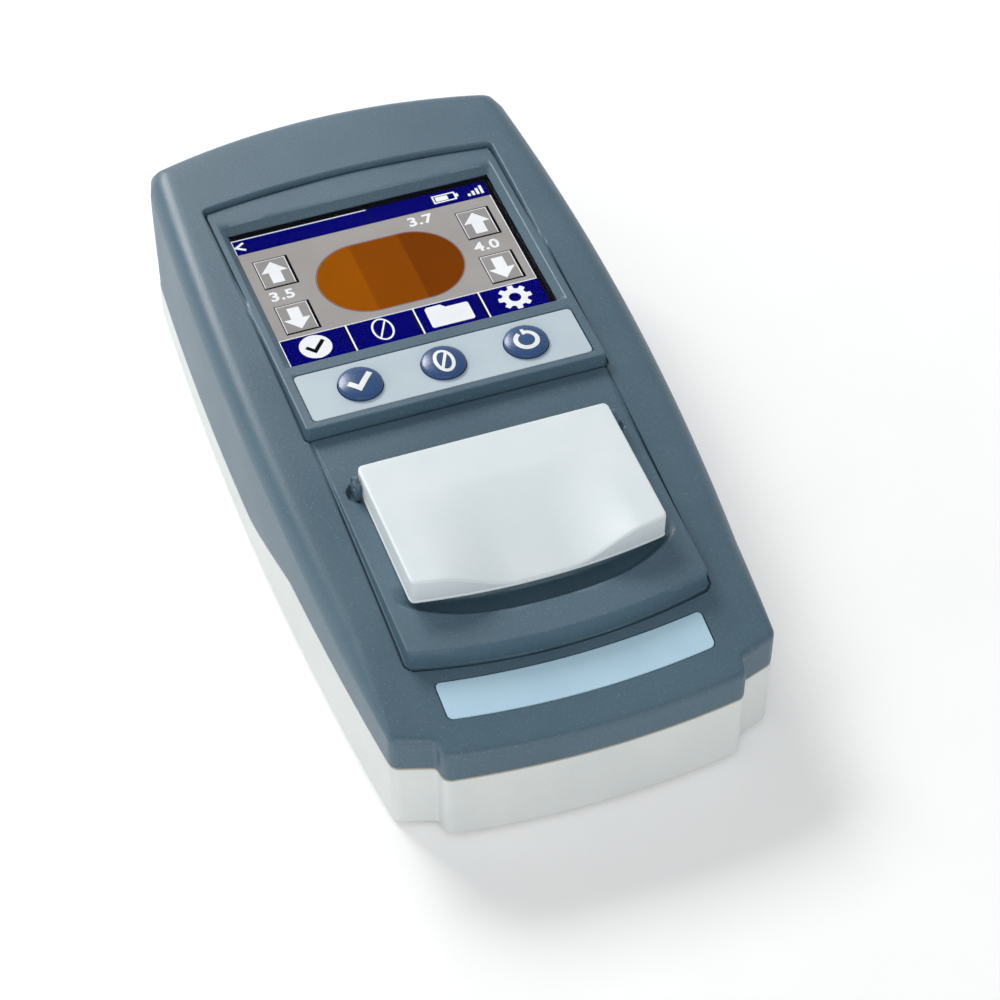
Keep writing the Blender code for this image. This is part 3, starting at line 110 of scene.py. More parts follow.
class Skin:
    """Points and faces gathered for one piece, both in millimetres."""

    def __init__(self):
        self.points, self.faces, self.count = [], [], 0

    def add(self, points):
        """Take in an array of points and give back their numbers, in the same layout."""
        points = np.asarray(points, float)
        flat = points.reshape(-1, 3)
        numbers = self.count + np.arange(len(flat))
        self.points.append(flat)
        self.count += len(flat)
        return numbers.reshape(points.shape[:-1])

    def quads(self, a, b, c, d):
        """Faces whose four corners are taken in turn from four arrays of numbers."""
        self.faces += np.stack([np.ravel(a), np.ravel(b), np.ravel(c), np.ravel(d)], axis=1).tolist()

    def strip(self, inner, outer):
        """Join two closed rows, anticlockwise from above; faces look up or outwards."""
        self.quads(inner, outer, np.roll(outer, -1), np.roll(inner, -1))

    def grid(self, numbers, keep=None):
        """Join a whole grid of numbers; rows run along Y and columns along X."""
        corners = [numbers[:-1, :-1], numbers[:-1, 1:], numbers[1:, 1:], numbers[1:, :-1]]
        if keep is not None:
            corners = [corner[keep] for corner in corners]
        self.quads(*corners)

    def piece(self, name, look, body="instrument", slot=None, crease=35.0):
        """Make the object, smooth but for edges sharper than the crease, and let it ride."""
        mesh = bpy.data.meshes.new(name)
        mesh.from_pydata((np.concatenate(self.points) * MM).tolist(), [], self.faces)
        mesh.shade_smooth()
        mesh.set_sharp_from_angle(angle=math.radians(crease))
        mesh.materials.append(look)
        made = bpy.data.objects.new(name, mesh)
        bpy.context.collection.objects.link(made)
        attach(made, body)
        return made


def rim(numbers):
    """The outer numbers of a grid as one closed row, anticlockwise from above."""
    return np.concatenate([numbers[0, :-1], numbers[:-1, -1], numbers[-1, :0:-1], numbers[:0:-1, 0]])


def smooth(low, high, value):
    """Smooth step: 0 below the low end, 1 above the high one, 3t2 - 2t3 between."""
    t = np.clip((value - low) / (high - low), 0.0, 1.0)
    return t * t * (3.0 - 2.0 * t)


def spread(low, high, step, edges=(), exact=()):
    """Grid lines from low to high: even steps, close lines beside each edge, and exact ones."""
    even = np.linspace(low, high, int(round((high - low) / step)) + 1)
    for edge in edges:
        even = even[np.abs(even - edge) > 1.2]
    close = [edge + offset for edge in edges for offset in EDGE_OFFSETS]
    firm = np.unique(np.round([low, high, *exact], 4))
    loose = np.unique(np.round([*even, *close], 4))
    gap = np.abs(loose[:, None] - firm[None, :]).min(axis=1)
    loose = loose[(gap > 0.06) & (loose > low) & (loose < high)]
    return np.unique(np.concatenate([loose, firm]))


def inside(points, loop):
    """Even-odd test: which plan points lie within a closed plan outline."""
    ahead = np.roll(loop, -1, axis=0)
    x, y = points[:, :1], points[:, 1:]
    x0, y0, x1, y1 = loop[:, 0], loop[:, 1], ahead[:, 0], ahead[:, 1]
    spans = (y0 > y) != (y1 > y)
    rise = np.where(y1 == y0, 1.0, y1 - y0)
    crossing = x0 + (y - y0) * (x1 - x0) / rise
    return (spans & (x < crossing)).sum(axis=1) % 2 == 1


def fill(skin, loops, height, numbers=None, down=False, spacing=None):
    """Triangles between plan outlines, at a height or a function of x and y.

    A point belongs to the filled area when an odd number of outlines holds it.
    With a spacing, points of an even lattice within the area are added, so that
    the surface follows a curved height.
    """
    plan = np.concatenate(loops)
    edges, start = [], 0
    for loop in loops:
        along = start + np.arange(len(loop))
        edges += np.stack([along, np.roll(along, -1)], axis=1).tolist()
        start += len(loop)
    if spacing:
        low, high = plan.min(axis=0), plan.max(axis=0)
        lattice = np.stack(np.meshgrid(*[np.arange(a + spacing / 2, b, spacing) for a, b in zip(low, high)]), -1)
        lattice = lattice.reshape(-1, 2)
        apart = np.hypot(*(lattice[:, None] - plan[None]).transpose(2, 0, 1)).min(axis=1)
        held = sum(inside(lattice, loop).astype(int) for loop in loops) % 2 == 1
        plan = np.concatenate([plan, lattice[held & (apart > spacing * 0.4)]])
    found, _, triangles, origins, _, _ = delaunay_2d_cdt(
        [Vector(p) for p in plan.tolist()], edges, [], 0, 1e-7)
    found = np.array([tuple(p) for p in found])
    triangles = np.array([t for t in triangles if len(t) == 3])
    middles = found[triangles].mean(axis=1)
    held = sum(inside(middles, loop).astype(int) for loop in loops) % 2 == 1
    triangles = triangles[held]
    if numbers is None:
        z = height(found[:, 0], found[:, 1]) if callable(height) else np.full(len(found), float(height))
        numbers = skin.add(np.column_stack([found, z]))
    else:
        numbers = np.concatenate(numbers)[[origin[0] for origin in origins]]
    facing = triangles[:, ::-1] if down else triangles
    skin.faces += numbers[facing].tolist()


def divided(loop, longest):
    """A closed plan outline with points added so that no side is longer than a length."""
    ahead = np.roll(loop, -1, axis=0)
    runs = []
    for start, end in zip(loop, ahead):
        parts = max(1, math.ceil(np.hypot(*(end - start)) / longest))
        runs.append(start + (end - start) * (np.arange(parts) / parts)[:, None])
    return np.concatenate(runs)


def ring(radius, x=0.0, y=0.0, count=48):
    """A circle in plan, anticlockwise."""
    angle = np.arange(count) * 2 * math.pi / count
    return np.stack([x + radius * np.cos(angle), y + radius * np.sin(angle)], axis=1)


def rounded_box(half_x, half_y, radius, x=0.0, y=0.0, steps=8):
    """A rectangle with round corners in plan, anticlockwise."""
    quarter = np.linspace(0, math.pi / 2, steps + 1)
    corners = []
    for turn, (side_x, side_y) in enumerate([(1, 1), (-1, 1), (-1, -1), (1, -1)]):
        angle = quarter + turn * math.pi / 2
        corners.append(np.stack([
            x + side_x * (half_x - radius) + radius * np.cos(angle),
            y + side_y * (half_y - radius) + radius * np.sin(angle)], axis=1))
    return np.concatenate(corners)


def level(plan, height):
    """Put a plan outline at a height, which is a number or an array."""
    return np.column_stack([plan, np.broadcast_to(height, len(plan))])


def turned(skin, profile, centre, axis="Z", count=64):
    """Turn a profile of (radius, height) pairs about an axis; heights fall along the profile.

    The first and the last radius may be 0, where the surface closes in a pole.
    """
    angle = np.arange(count) * 2 * math.pi / count
    rows = []
    for radius, height in profile:
        points = np.column_stack([radius * np.cos(angle), radius * np.sin(angle), np.full(count, height)])
        if axis == "X":
            points = points[:, [2, 0, 1]]
        if axis == "Y":
            points = points[:, [1, 2, 0]]
        if radius == 0:
            points = points[:1]
        rows.append(skin.add(points + np.array(centre)))
    for upper, lower in zip(rows[:-1], rows[1:]):
        if len(upper) == 1:
            skin.faces += np.column_stack([np.full(count, upper[0]), lower, np.roll(lower, -1)]).tolist()
        elif len(lower) == 1:
            skin.faces += np.column_stack([upper, np.full(count, lower[0]), np.roll(upper, -1)]).tolist()
        else:
            skin.strip(upper, lower)


# Outline of the body

def side_x(y):
    """Half width of the body at its widest level: a shallow parabola along Y."""
    return HALF_WIDTH - SIDE_BOW * (y / SIDE_ARC_HALF) ** 2


def rounded_run(points, radii, steps=12):
    """Replace the corners of an open run by arcs; a radius of 0 keeps a point."""
    run = []
    for index, (point, radius) in enumerate(zip(points, radii)):
        here = np.array(point, float)
        if radius == 0:
            run.append(here[None])
            continue
        before, after = np.array(points[index - 1]) - here, np.array(points[index + 1]) - here
        before, after = before / np.hypot(*before), after / np.hypot(*after)
        half = math.acos(float(np.clip(before @ after, -1, 1))) / 2
        start, end = here + before * radius / math.tan(half), here + after * radius / math.tan(half)
        middle = before + after
        centre = here + middle / np.hypot(*middle) * radius / math.sin(half)
        first, last = math.atan2(*(start - centre)[::-1]), math.atan2(*(end - centre)[::-1])
        swing = (last - first + math.pi) % (2 * math.pi) - math.pi
        angle = first + swing * np.linspace(0, 1, steps + 1)
        run.append(centre + radius * np.stack([np.cos(angle), np.sin(angle)], axis=1))
    return np.concatenate(run)


def half_outline():
    """Half plan outline of the body, from the front's middle round +X to the rear's middle."""
    front_x = np.append(np.linspace(0, FRONT_ARC[0] - 2.8, 22), FRONT_ARC[0])
    front = np.stack([front_x, -HALF_LENGTH + FRONT_ARC[1] * (front_x / FRONT_ARC[0]) ** 2], axis=1)
    notch_y = -HALF_LENGTH + FRONT_ARC[1] + 4.2
    corners = [(FRONT_ARC[0] + 0.4, notch_y), (side_x(notch_y + 3.0), notch_y + 3.0)]
    side_y = np.linspace(-81.0, 80.24, 90)
    side = np.stack([side_x(side_y), side_y], axis=1)
    corner_y = HALF_LENGTH - REAR_ARC[1] * (HALF_WIDTH / REAR_ARC[0]) ** 2
    corner_x = side_x(corner_y)
    rear_x = np.append(corner_x, np.linspace(corner_x - 6.2, 0, 28))
    rear = np.stack([rear_x, HALF_LENGTH - REAR_ARC[1] * (rear_x / REAR_ARC[0]) ** 2], axis=1)
    points = [*front.tolist(), *corners, *side.tolist(), *rear.tolist()]
    radii = [0] * 22 + [2.3, 1.5, 2.7] + [0] * 90 + [5.6] + [0] * 28
    return rounded_run(points, radii)


class Plan:
    """A plan outline, alike on both sides, kept as its +X half from front to rear."""

    def __init__(self, half):
        self.half = half
        self.run = np.concatenate([[0], np.cumsum(np.hypot(*np.diff(half, axis=0).T))])
        slope = np.gradient(half, self.run, axis=0)
        self.away = np.stack([slope[:, 1], -slope[:, 0]], axis=1) / np.hypot(*slope.T)[:, None]
        self.away[0], self.away[-1] = (0, -1), (0, 1)

    def at(self, run, side):
        """Points and outward directions at arc lengths, on the side given by a sign."""
        point = np.stack([np.interp(run, self.run, self.half[:, k]) for k in (0, 1)], axis=-1)
        away = np.stack([np.interp(run, self.run, self.away[:, k]) for k in (0, 1)], axis=-1)
        away /= np.hypot(away[..., 0], away[..., 1])[..., None]
        mirror = np.stack([side, np.ones_like(side)], axis=-1)
        return point * mirror, away * mirror

    def whole(self):
        """The closed outline, anticlockwise from the front's middle, with its outward directions."""
        run = np.concatenate([self.run[:-1], self.run[:0:-1]])
        side = np.concatenate([np.ones(len(self.run) - 1), -np.ones(len(self.run) - 1)])
        return self.at(run, side)

    def near(self, x, y):
        """Arc length of the outline's point nearest to a place."""
        return self.run[np.argmin(np.hypot(self.half[:, 0] - x, self.half[:, 1] - y))]

    def beside(self, points, marks):
        """Outline points that face the rim of a grid.

        The rim is measured from its front's middle along its +X half; each mark
        pairs such a measure with an arc length of the outline.
        """
        corner = np.abs(points[:, 0]).max()
        distance = np.abs(points[:, 0])
        at_side = distance > corner - 0.001
        front, rear = points[at_side, 1].min(), points[at_side, 1].max()
        at_rear = ~at_side & (points[:, 1] > (front + rear) / 2)
        way = np.where(at_side, corner + points[:, 1] - front,
                       np.where(at_rear, 2 * corner + rear - front - distance, distance))
        run = np.interp(way, *np.array(marks).T)
        return *self.at(run, np.where(points[:, 0] < 0, -1.0, 1.0)), at_rear


BODY = Plan(half_outline())


def top_z(y):
    """Height of the cover's top along the body: level at the rear, falling to the front."""
    share = np.clip((y + HALF_LENGTH) / (2 * HALF_LENGTH), 0, 1)
    return REAR_TOP - TOP_DROP * (1 - share) ** TOP_CURVE_POWER


def seam_z(y):
    """Height of the seam: high in front, low behind a soft break."""
    return FRONT_SEAM + (REAR_SEAM - FRONT_SEAM) * (
        0.35 * smooth(*SEAM_BREAK, y) + 0.65 * np.clip((y + 27.0) / 29.0, 0, 1))


def fillet_radius(y):
    """Radius of the cover's top edge: small in front, large along the sides."""
    share = np.clip((y - FILLET_RANGE[0]) / (FILLET_RANGE[1] - FILLET_RANGE[0]), 0, 1)
    return FRONT_FILLET + (SIDE_FILLET - FRONT_FILLET) * share


def drafted(plan, z):
    """Points of a plan outline at heights z, drawn in towards the bottom by the draft."""
    z = np.broadcast_to(z, len(plan))
    narrowing = DRAFT * (1 - np.minimum(z / DRAFT_HEIGHT, 1)) / HALF_WIDTH
    return np.column_stack([plan[:, 0] * (1 - narrowing), plan[:, 1], z])


# Height of the cover's top with its panel, plateau and pockets

def box_depth(x, y, half_x, low, high, radius):
    """Distance inside a rectangle with round corners, negative outside it."""
    across = np.abs(x) - half_x + radius
    along = np.maximum(low - y, y - high) + radius
    outside = np.hypot(np.maximum(across, 0), np.maximum(along, 0))
    return radius - outside - np.minimum(np.maximum(across, along), 0)


def step_up(depth, height, convex=0.6, concave=0.3, draft=0.15):
    """Profile of a wall: a concave foot, a drafted face and a convex edge of real radii.

    Both radii shrink where the wall is lower than their sum.
    """
    scale = np.minimum(1, height / (convex + concave) * 0.98)
    top_r, foot_r = np.maximum(convex * scale, 1e-6), np.maximum(concave * scale, 1e-6)
    foot = foot_r - np.sqrt(np.maximum(foot_r ** 2 - np.clip(foot_r + depth, 0, foot_r) ** 2, 0))
    face = foot_r + (height - top_r - foot_r) * np.clip(depth / draft, 0, 1)
    left = np.clip(top_r + draft - depth, 0, top_r)
    edge = height - top_r + np.sqrt(np.maximum(top_r ** 2 - left ** 2, 0))
    return np.where(depth < 0, foot, np.where(depth < draft, face, edge))


def groove(distance, depth, width):
    """Depth of a narrow groove beside a wall: flat-bottomed, with slanted sides 0.1 mm wide."""
    return depth * np.clip(distance / 0.1, 0, 1) * np.clip((width - distance) / 0.1, 0, 1)


def finger_recess(x, y):
    """Depth of the hollow under the lid's front edge: a shallow trough, deepest in the middle, where a finger lifts it."""
    across = np.clip(1 - (x / RECESS_HALF) ** 4, 0, 1)
    edge = RECESS_EDGE[0] + RECESS_EDGE[1] * (x / RECESS_HALF) ** 2
    start = edge - RECESS_REACH * across ** 1.2
    front = smooth(start - 0.2, start + 2.2, y)
    rear = 1 - smooth(edge + 2.0, edge + 4.5, y)
    return RECESS_DEPTH * across ** 0.9 * front * rear


def hinge_pockets(x, y):
    """Depth of the two half-round pockets beside the lid, in which the hinge lugs stand."""
    away = np.hypot(np.maximum(np.abs(x) - HINGE_POCKET[0], 0), y - LID_PLACE[1])
    return HINGE_POCKET[2] * (1 - smooth(HINGE_POCKET[1] - 0.25, HINGE_POCKET[1] + 0.25, away))


def cover_height(x, y):
    """The cover's top: the long curve, then the plateau, the panel, the bevel and the pockets.

    A groove runs along the foot of the plateau's wall and of the panel's, on
    the lower side of each, and is shallow where the two sides are level.
    """
    z = top_z(y)
    label = box_depth(x, y - LABEL_SAG * (x / LABEL_HALF) ** 2, LABEL_HALF + FOIL_GAP,
                      LABEL_FRONT - FOIL_GAP, LABEL_FRONT + LABEL_DEPTH + FOIL_GAP, LABEL_CORNER + FOIL_GAP)
    z = z - 0.7 * np.clip(label / 0.1, 0, 1)
    plateau = box_depth(x, y - PLATEAU_SAG * (x / PLATEAU_HALF) ** 2 * (y < -40), PLATEAU_HALF,
                        PLATEAU_FRONT, -4.5, 1.0)
    rise = 35.8 + 4.6 * (y + 70.6) / 64.095 - z
    cut = groove(-plateau - 0.3, 1.1 * np.clip(rise / 1.0, 0.3, 1), 0.6)
    z = z + np.where(rise > 0.02, step_up(plateau, np.maximum(rise, 0.02), convex=0.3, concave=0.05),
                     rise * (plateau > 0)) - cut
    panel = box_depth(x, y + PANEL_SAG * (x / PANEL_HALF) ** 2 * (y > 35), PANEL_HALF,
                      PANEL_FRONT, PANEL_REAR, 1.0)
    rise = PANEL_TOP - z
    cut = np.where(rise > 0, groove(-panel, 1.0, 0.6), groove(panel, 1.0, 0.6)) * np.clip(np.abs(rise) / 0.6, 0, 1)
    up = z + step_up(panel, np.maximum(rise, 0.02), convex=0.35, concave=0.05)
    down = PANEL_TOP + step_up(-panel, np.maximum(-rise, 0.02), convex=0.35, concave=0.05)
    z = np.where(rise > 0, up, down) - cut
    z = z - finger_recess(x, y) - hinge_pockets(x, y)
    bevel = box_depth(x, y - WINDOW_Y, WINDOW_HALF[0] + WINDOW_BEVEL,
                      -WINDOW_HALF[1] - WINDOW_BEVEL, WINDOW_HALF[1] + WINDOW_BEVEL, 0.2)
    soft = 0.2
    drop = np.where(bevel > soft, bevel, np.clip(bevel + soft, 0, None) ** 2 / (4 * soft))
    z = np.where(panel > 1, z - np.minimum(drop, WINDOW_BEVEL), z)
    pocket = box_depth(x, y - KEY_Y, FOIL_HALF[0] + FOIL_GAP, -FOIL_HALF[1] - FOIL_GAP,
                       FOIL_HALF[1] + FOIL_GAP, 1.5)
    return z - 0.8 * np.clip(pocket / 0.1, 0, 1)


ROW_BOWS = np.array([
    (-96.5, 0.002327), (-86.0, 0.002424), (-78.0, 0.002424), (-74.9, 0.00351), (-50.0, 0.0),
    (63.0, 0.0), (73.7, -0.00214), (96.5, -0.0033125)])


def row_bow(v):
    """How much a grid row bends: y = v + bow x squared, following the arcs of the plan."""
    return np.interp(v, ROW_BOWS[:, 0], ROW_BOWS[:, 1])


def nearest(lines, value):
    """Number of the grid line at a value."""
    return int(np.argmin(np.abs(lines - value)))


def make_cover_shell():
    """The slate cover: a grid over its top, loops out to the edge, a fillet and drafted walls.

    Grid rows follow the plan's arcs. Each wall of the panel, plateau and pockets
    lies between close grid lines, and the openings are cells left out, with walls
    that go down from their rims.
    """
    half = spread(0, 37.4, 1.6, edges=(31.1, 35.0, 36.2),
                  exact=(4.8, 5.4, 14.6, 19.4, 25.4, 30.2, 31.6, 32.0, 32.3, 32.6, 32.9, 33.8, 33.9, 34.0, 34.1, 34.3))
    columns = np.concatenate([-half[:0:-1], half])
    front, rear = WINDOW_Y - WINDOW_HALF[1], WINDOW_Y + WINDOW_HALF[1]
    pocket = (KEY_Y - FOIL_HALF[1] - FOIL_GAP, KEY_Y + FOIL_HALF[1] + FOIL_GAP)
    rows = spread(-88.5 - 0.9, 80, 1.7, edges=(-87.8, -78.0, -74.9, PANEL_FRONT, PANEL_REAR), exact=(
        WELL_Y - MOUTH_HALF[1], WELL_Y + MOUTH_HALF[1], pocket[0], pocket[0] + 0.1, pocket[1] - 0.1,
        pocket[1], KEY_Y - 5.4, KEY_Y + 5.4, front - 1.8, front - 1.6, front - 1.4, front, rear,
        rear + 1.4, rear + 1.6, rear + 1.8, *np.arange(-66.6, -57.0, 0.6), *(LID_PLACE[1] + np.arange(-3.5, 3.6, 0.35))))
    x, v = np.meshgrid(columns, rows)
    y = v + row_bow(v) * x ** 2
    skin = Skin()
    numbers = skin.add(np.stack([x, y, cover_height(x, y)], axis=-1))

    holes = [(-MOUTH_HALF[0], MOUTH_HALF[0], WELL_Y - MOUTH_HALF[1], WELL_Y + MOUTH_HALF[1], 6.0),
             (-WINDOW_HALF[0], WINDOW_HALF[0], front, rear, 0.28)]
    holes += [(place - 5.4, place + 5.4, KEY_Y - 5.4, KEY_Y + 5.4, 2.0) for place in KEY_PLACES.values()]
    keep = np.ones((len(rows) - 1, len(columns) - 1), bool)
    for left, right, low, high, deep in holes:
        i = slice(nearest(rows, low), nearest(rows, high) + 1)
        j = slice(nearest(columns, left), nearest(columns, right) + 1)
        keep[i.start:i.stop - 1, j.start:j.stop - 1] = False
        edge = rim(numbers[i, j])
        points = np.concatenate(skin.points)[edge]
        lower = skin.add(points - [0, 0, deep])
        skin.strip(lower, edge)
    skin.grid(numbers, keep)

    edge = rim(numbers)
    points = np.concatenate(skin.points)[edge]
    corner, front, rear = half[-1], y[0, -1], y[-1, -1]
    end = 2 * corner + rear - front
    plan, away, at_rear = BODY.beside(points, [
        (0, 0), (30.5, BODY.near(35.3, -93.6)), (corner, BODY.near(48.4, -86.4)),
        (corner - 79 - front, BODY.near(side_x(-79), -79)), (corner + 71 - front, BODY.near(side_x(73), 73)),
        (corner + rear - front, BODY.near(44.7, 89.9)), (end - 4.8, BODY.near(4.8, 96.42)),
        (end, BODY.run[-1])])
    reach = fillet_radius(plan[:, 1])
    start = plan - away * reach[:, None]

    previous = edge
    for share in (0.3, 0.65):
        mid = points[:, :2] * (1 - share) + start * share
        row = skin.add(level(mid, top_z(mid[:, 1])))
        skin.strip(previous, row)
        previous = row
    for angle in np.radians(np.linspace(90, 0, 10)):
        ring_plan = plan - away * (reach * (1 - math.cos(angle)))[:, None]
        z = top_z(ring_plan[:, 1]) - reach * (1 - math.sin(angle))
        row = skin.add(drafted(ring_plan, z))
        skin.strip(previous, row)
        previous = row
    upper = top_z(plan[:, 1]) - reach
    low = seam_z(plan[:, 1]) + SEAM_HALF_GAP
    rear_hole = (np.abs(points[:, 0]) < 4.81) & at_rear
    for share in (0.9933, 0.8653, 0.6, 0.3, 0.06):
        row = skin.add(drafted(plan, low + (upper - low) * share))
        skip = rear_hole & np.roll(rear_hole, -1) if share == 0.8653 else np.zeros(len(row), bool)
        faces = np.stack([previous, row, np.roll(row, -1), np.roll(previous, -1)], axis=1)[~skip]
        skin.faces += faces.tolist()
        if share == 0.8653:
            corners = np.flatnonzero(rear_hole)
            make_socket_walls(skin, previous[corners], row[corners])
        previous = row
    for drop, inset in ((RIM_EDGE, 0.0), (RIM_EDGE * 0.3, RIM_EDGE * 0.3), (0.0, RIM_EDGE), (0.0, SHELL_WALL),
                        (4.0, SHELL_WALL)):
        row = skin.add(drafted(plan - away * inset, low + drop))
        skin.strip(previous, row)
        previous = row
    made = skin.piece("cover_shell", SLATE, slot="slate_plastic")
    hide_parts("top_cover")
    return made


def make_socket_walls(skin, upper, lower):
    """Walls of the data socket's opening, from the cover's outer face inwards."""
    edge = np.concatenate([upper, lower[::-1]])
    points = np.concatenate(skin.points)[edge]
    inner = skin.add(points - [0, SHELL_WALL, 0])
    skin.strip(edge, inner)


# Materials

def srgb(code):
    """Linear colour of an sRGB hex value such as "4f6571"."""
    parts = [int(code[k:k + 2], 16) / 255 for k in (0, 2, 4)]
    return tuple(p / 12.92 if p <= 0.04045 else ((p + 0.055) / 1.055) ** 2.4 for p in parts) + (1.0,)


def node(look, kind, inputs=None, **settings):
    """Add a node with its settings; inputs holds values and other nodes' sockets by name or number."""
    made = look.node_tree.nodes.new("ShaderNode" + kind)
    for name, value in settings.items():
        setattr(made, name, value)
    for name, value in (inputs or {}).items():
        if isinstance(value, bpy.types.NodeSocket):
            look.node_tree.links.new(value, made.inputs[name])
        else:
            made.inputs[name].default_value = value
    return made


def finish(name, **constants):
    """A material with a Principled shader; the constants are set on its own sockets."""
    look = bpy.data.materials.new(name)
    look.use_nodes = True
    shader = look.node_tree.nodes["Principled BSDF"]
    for socket, value in constants.items():
        shader.inputs[socket.replace("_", " ")].default_value = value
    return look, shader


def textured(name, tones, roughness, grain, relief, patch=18.0, stretch=(1, 1, 1), painted_glints=None, **constants):
    """A surface with its detail worked out from real sizes in millimetres.

    Two tones mix in soft patches and in the grain; the grain also gives the
    relief, in millimetres, and moves the roughness between its two values.
    Painted glints, where given, are a paler tone and the distance from one fleck to the next: paler dots painted into
    the colour as highlights of the grain.
    """
    look, shader = finish(name, **constants)
    place = node(look, "TexCoord").outputs["Object"]
    place = node(look, "Mapping", {"Vector": place, "Scale": stretch}).outputs["Vector"]
    wide = node(look, "TexNoise", {"Vector": place, "Scale": 1000 / patch, "Detail": 3.0, "Roughness": 0.55})
    fine = node(look, "TexNoise", {"Vector": place, "Scale": 1000 / grain, "Detail": 4.0, "Roughness": 0.6})
    blend = node(look, "Mix", {0: 0.4, 2: wide.outputs["Fac"], 3: fine.outputs["Fac"]})
    tone = node(look, "ValToRGB", {"Fac": blend.outputs[0]})
    tone.color_ramp.elements[0].position, tone.color_ramp.elements[1].position = 0.36, 0.64
    tone.color_ramp.elements[0].color, tone.color_ramp.elements[1].color = srgb(tones[0]), srgb(tones[1])
    gloss = node(look, "MapRange", {
        "Value": blend.outputs[0], "From Min": 0.35, "From Max": 0.65, "To Min": roughness[0],
        "To Max": roughness[1]})
    bump = node(look, "Bump", {"Height": fine.outputs["Fac"], "Distance": relief * MM, "Strength": 1.0})
    links = look.node_tree.links
    colour = tone.outputs["Color"]
    # Painted highlight: paler flecks mixed into the base colour stand for glints of the grain.
    if painted_glints:
        pale, apart = painted_glints
        dots = node(look, "TexNoise", {"Vector": place, "Scale": 1000 / apart, "Detail": 1.0})
        share = node(look, "MapRange", {"Value": dots.outputs["Fac"], "From Min": 0.62, "From Max": 0.80})
        colour = node(look, "Mix", {0: share.outputs["Result"], 6: colour, 7: srgb(pale)}, data_type="RGBA").outputs[2]
    links.new(colour, shader.inputs["Base Color"])
    links.new(gloss.outputs["Result"], shader.inputs["Roughness"])
    links.new(bump.outputs["Normal"], shader.inputs["Normal"])
    return look


# Moulded ABS with a fine spark-eroded texture: satin, with a pebbled grain that
# softens the reflections along the edges; the grain's glints are painted highlights, paler flecks in its colour.
SLATE = textured("moulded_slate_abs", ("465f6f", "4d6776"), (0.38, 0.48), 0.7, 0.035, patch=30.0,
                 painted_glints=("64808f", 0.42), IOR=1.54)
# The same plastic in pale grey, a little smoother, for the lower shell and its door.
PALE_GREY = textured("moulded_pale_grey_abs", ("d3d8d7", "dce0df"), (0.36, 0.46), 0.5, 0.015, IOR=1.54)
# The lid's plastic is brighter and smoother than the base, so its edges catch light.
PALE_WHITE = textured("moulded_pale_white_abs", ("dce5e8", "e3ebee"), (0.30, 0.38), 0.45, 0.008, IOR=1.54)
# Thermoplastic elastomer in the seam: dull, warm beige, slightly soft to the eye.
TAN = textured("elastomer_seam_beige", ("9c917f", "aea390"), (0.62, 0.72), 0.6, 0.03, IOR=1.50)
# Nitrile rubber feet: black, dull, with a chalky bloom.
RUBBER = textured("nitrile_rubber", ("1a1a1a", "2a2a29"), (0.75, 0.9), 0.8, 0.04, IOR=1.52)
# Black moulded ABS for the parts inside.
BLACK = textured("moulded_black_abs", ("121314", "1e1f20"), (0.40, 0.55), 0.5, 0.02, IOR=1.54)
# Plated steel for the pin, the screws, the contacts and the socket's shell.
STEEL = textured("bright_plated_steel", ("b9bbbd", "c9cbcc"), (0.22, 0.34), 0.3, 0.004, stretch=(0.2, 1, 1),
                 Metallic=1.0)
# Glossy moulded ABS keys: deep blue, smooth, with a soft sheen.
KEY_BLUE = textured("moulded_blue_abs_key", ("264674", "2d5080"), (0.24, 0.30), 0.5, 0.003, patch=9.0, IOR=1.54)
# White pad-printing ink on the keys: opaque, satin, a little uneven at the edges.
WHITE_PRINT = textured("pad_printed_white_ink", ("e4e8e8", "f2f4f3"), (0.35, 0.45), 0.2, 0.004, patch=4.0, IOR=1.50)


def lit_colour(name, code, strength=0.9):
    """A colour of the liquid crystal display, lit from behind, with a faint unevenness of its backlight.

    The glow is a shade darker and lighter in patches of some 12 mm and in a fine
    grain, which stands for the pixels.
    """
    look, shader = finish(name, Roughness=0.55, Specular_IOR_Level=0.0, Emission_Strength=strength)
    place = node(look, "TexCoord").outputs["Object"]
    patch = node(look, "TexNoise", {"Vector": place, "Scale": 80.0, "Detail": 1.0})
    pixel = node(look, "TexNoise", {"Vector": place, "Scale": 3000.0, "Detail": 0.0})
    blend = node(look, "Mix", {0: 0.35, 2: patch.outputs["Fac"], 3: pixel.outputs["Fac"]})
    tone = node(look, "ValToRGB", {"Fac": blend.outputs[0]})
    colour = srgb(code)
    tone.color_ramp.elements[0].position, tone.color_ramp.elements[1].position = 0.3, 0.7
    tone.color_ramp.elements[0].color = tuple(0.93 * c for c in colour[:3]) + (1.0,)
    tone.color_ramp.elements[1].color = tuple(min(1.05 * c, 1.0) for c in colour[:3]) + (1.0,)
    look.node_tree.links.new(tone.outputs["Color"], shader.inputs["Emission Color"])
    shader.inputs["Base Color"].default_value = tuple(0.15 * c for c in colour[:3]) + (1.0,)
    return look


# Colours of the liquid crystal picture
PICTURE_LOOKS = {name: lit_colour("display_" + name, code) for name, code in (
    ("field", "a6a2a0"), ("bars", "00006c"), ("white", "f4f6fa"), ("dark", "0a0a10"), ("shade", "9b9897"), ("edge", "7c6a74"),
    ("amber_1", "9a5200"), ("amber_2", "8a4500"), ("amber_3", "783800"))}

# Printed polyester foil over the keys: satin, pale blue grey, with a hair-fine emboss.
FOIL = textured("polyester_keypad_foil", ("b3c3cc", "bdccd5"), (0.36, 0.44), 0.25, 0.006, IOR=1.57)
# Printed polycarbonate label, satin and pale blue.
LABEL = textured("polycarbonate_label", ("b3d4e8", "bddeef"), (0.34, 0.42), 0.25, 0.006, IOR=1.58)


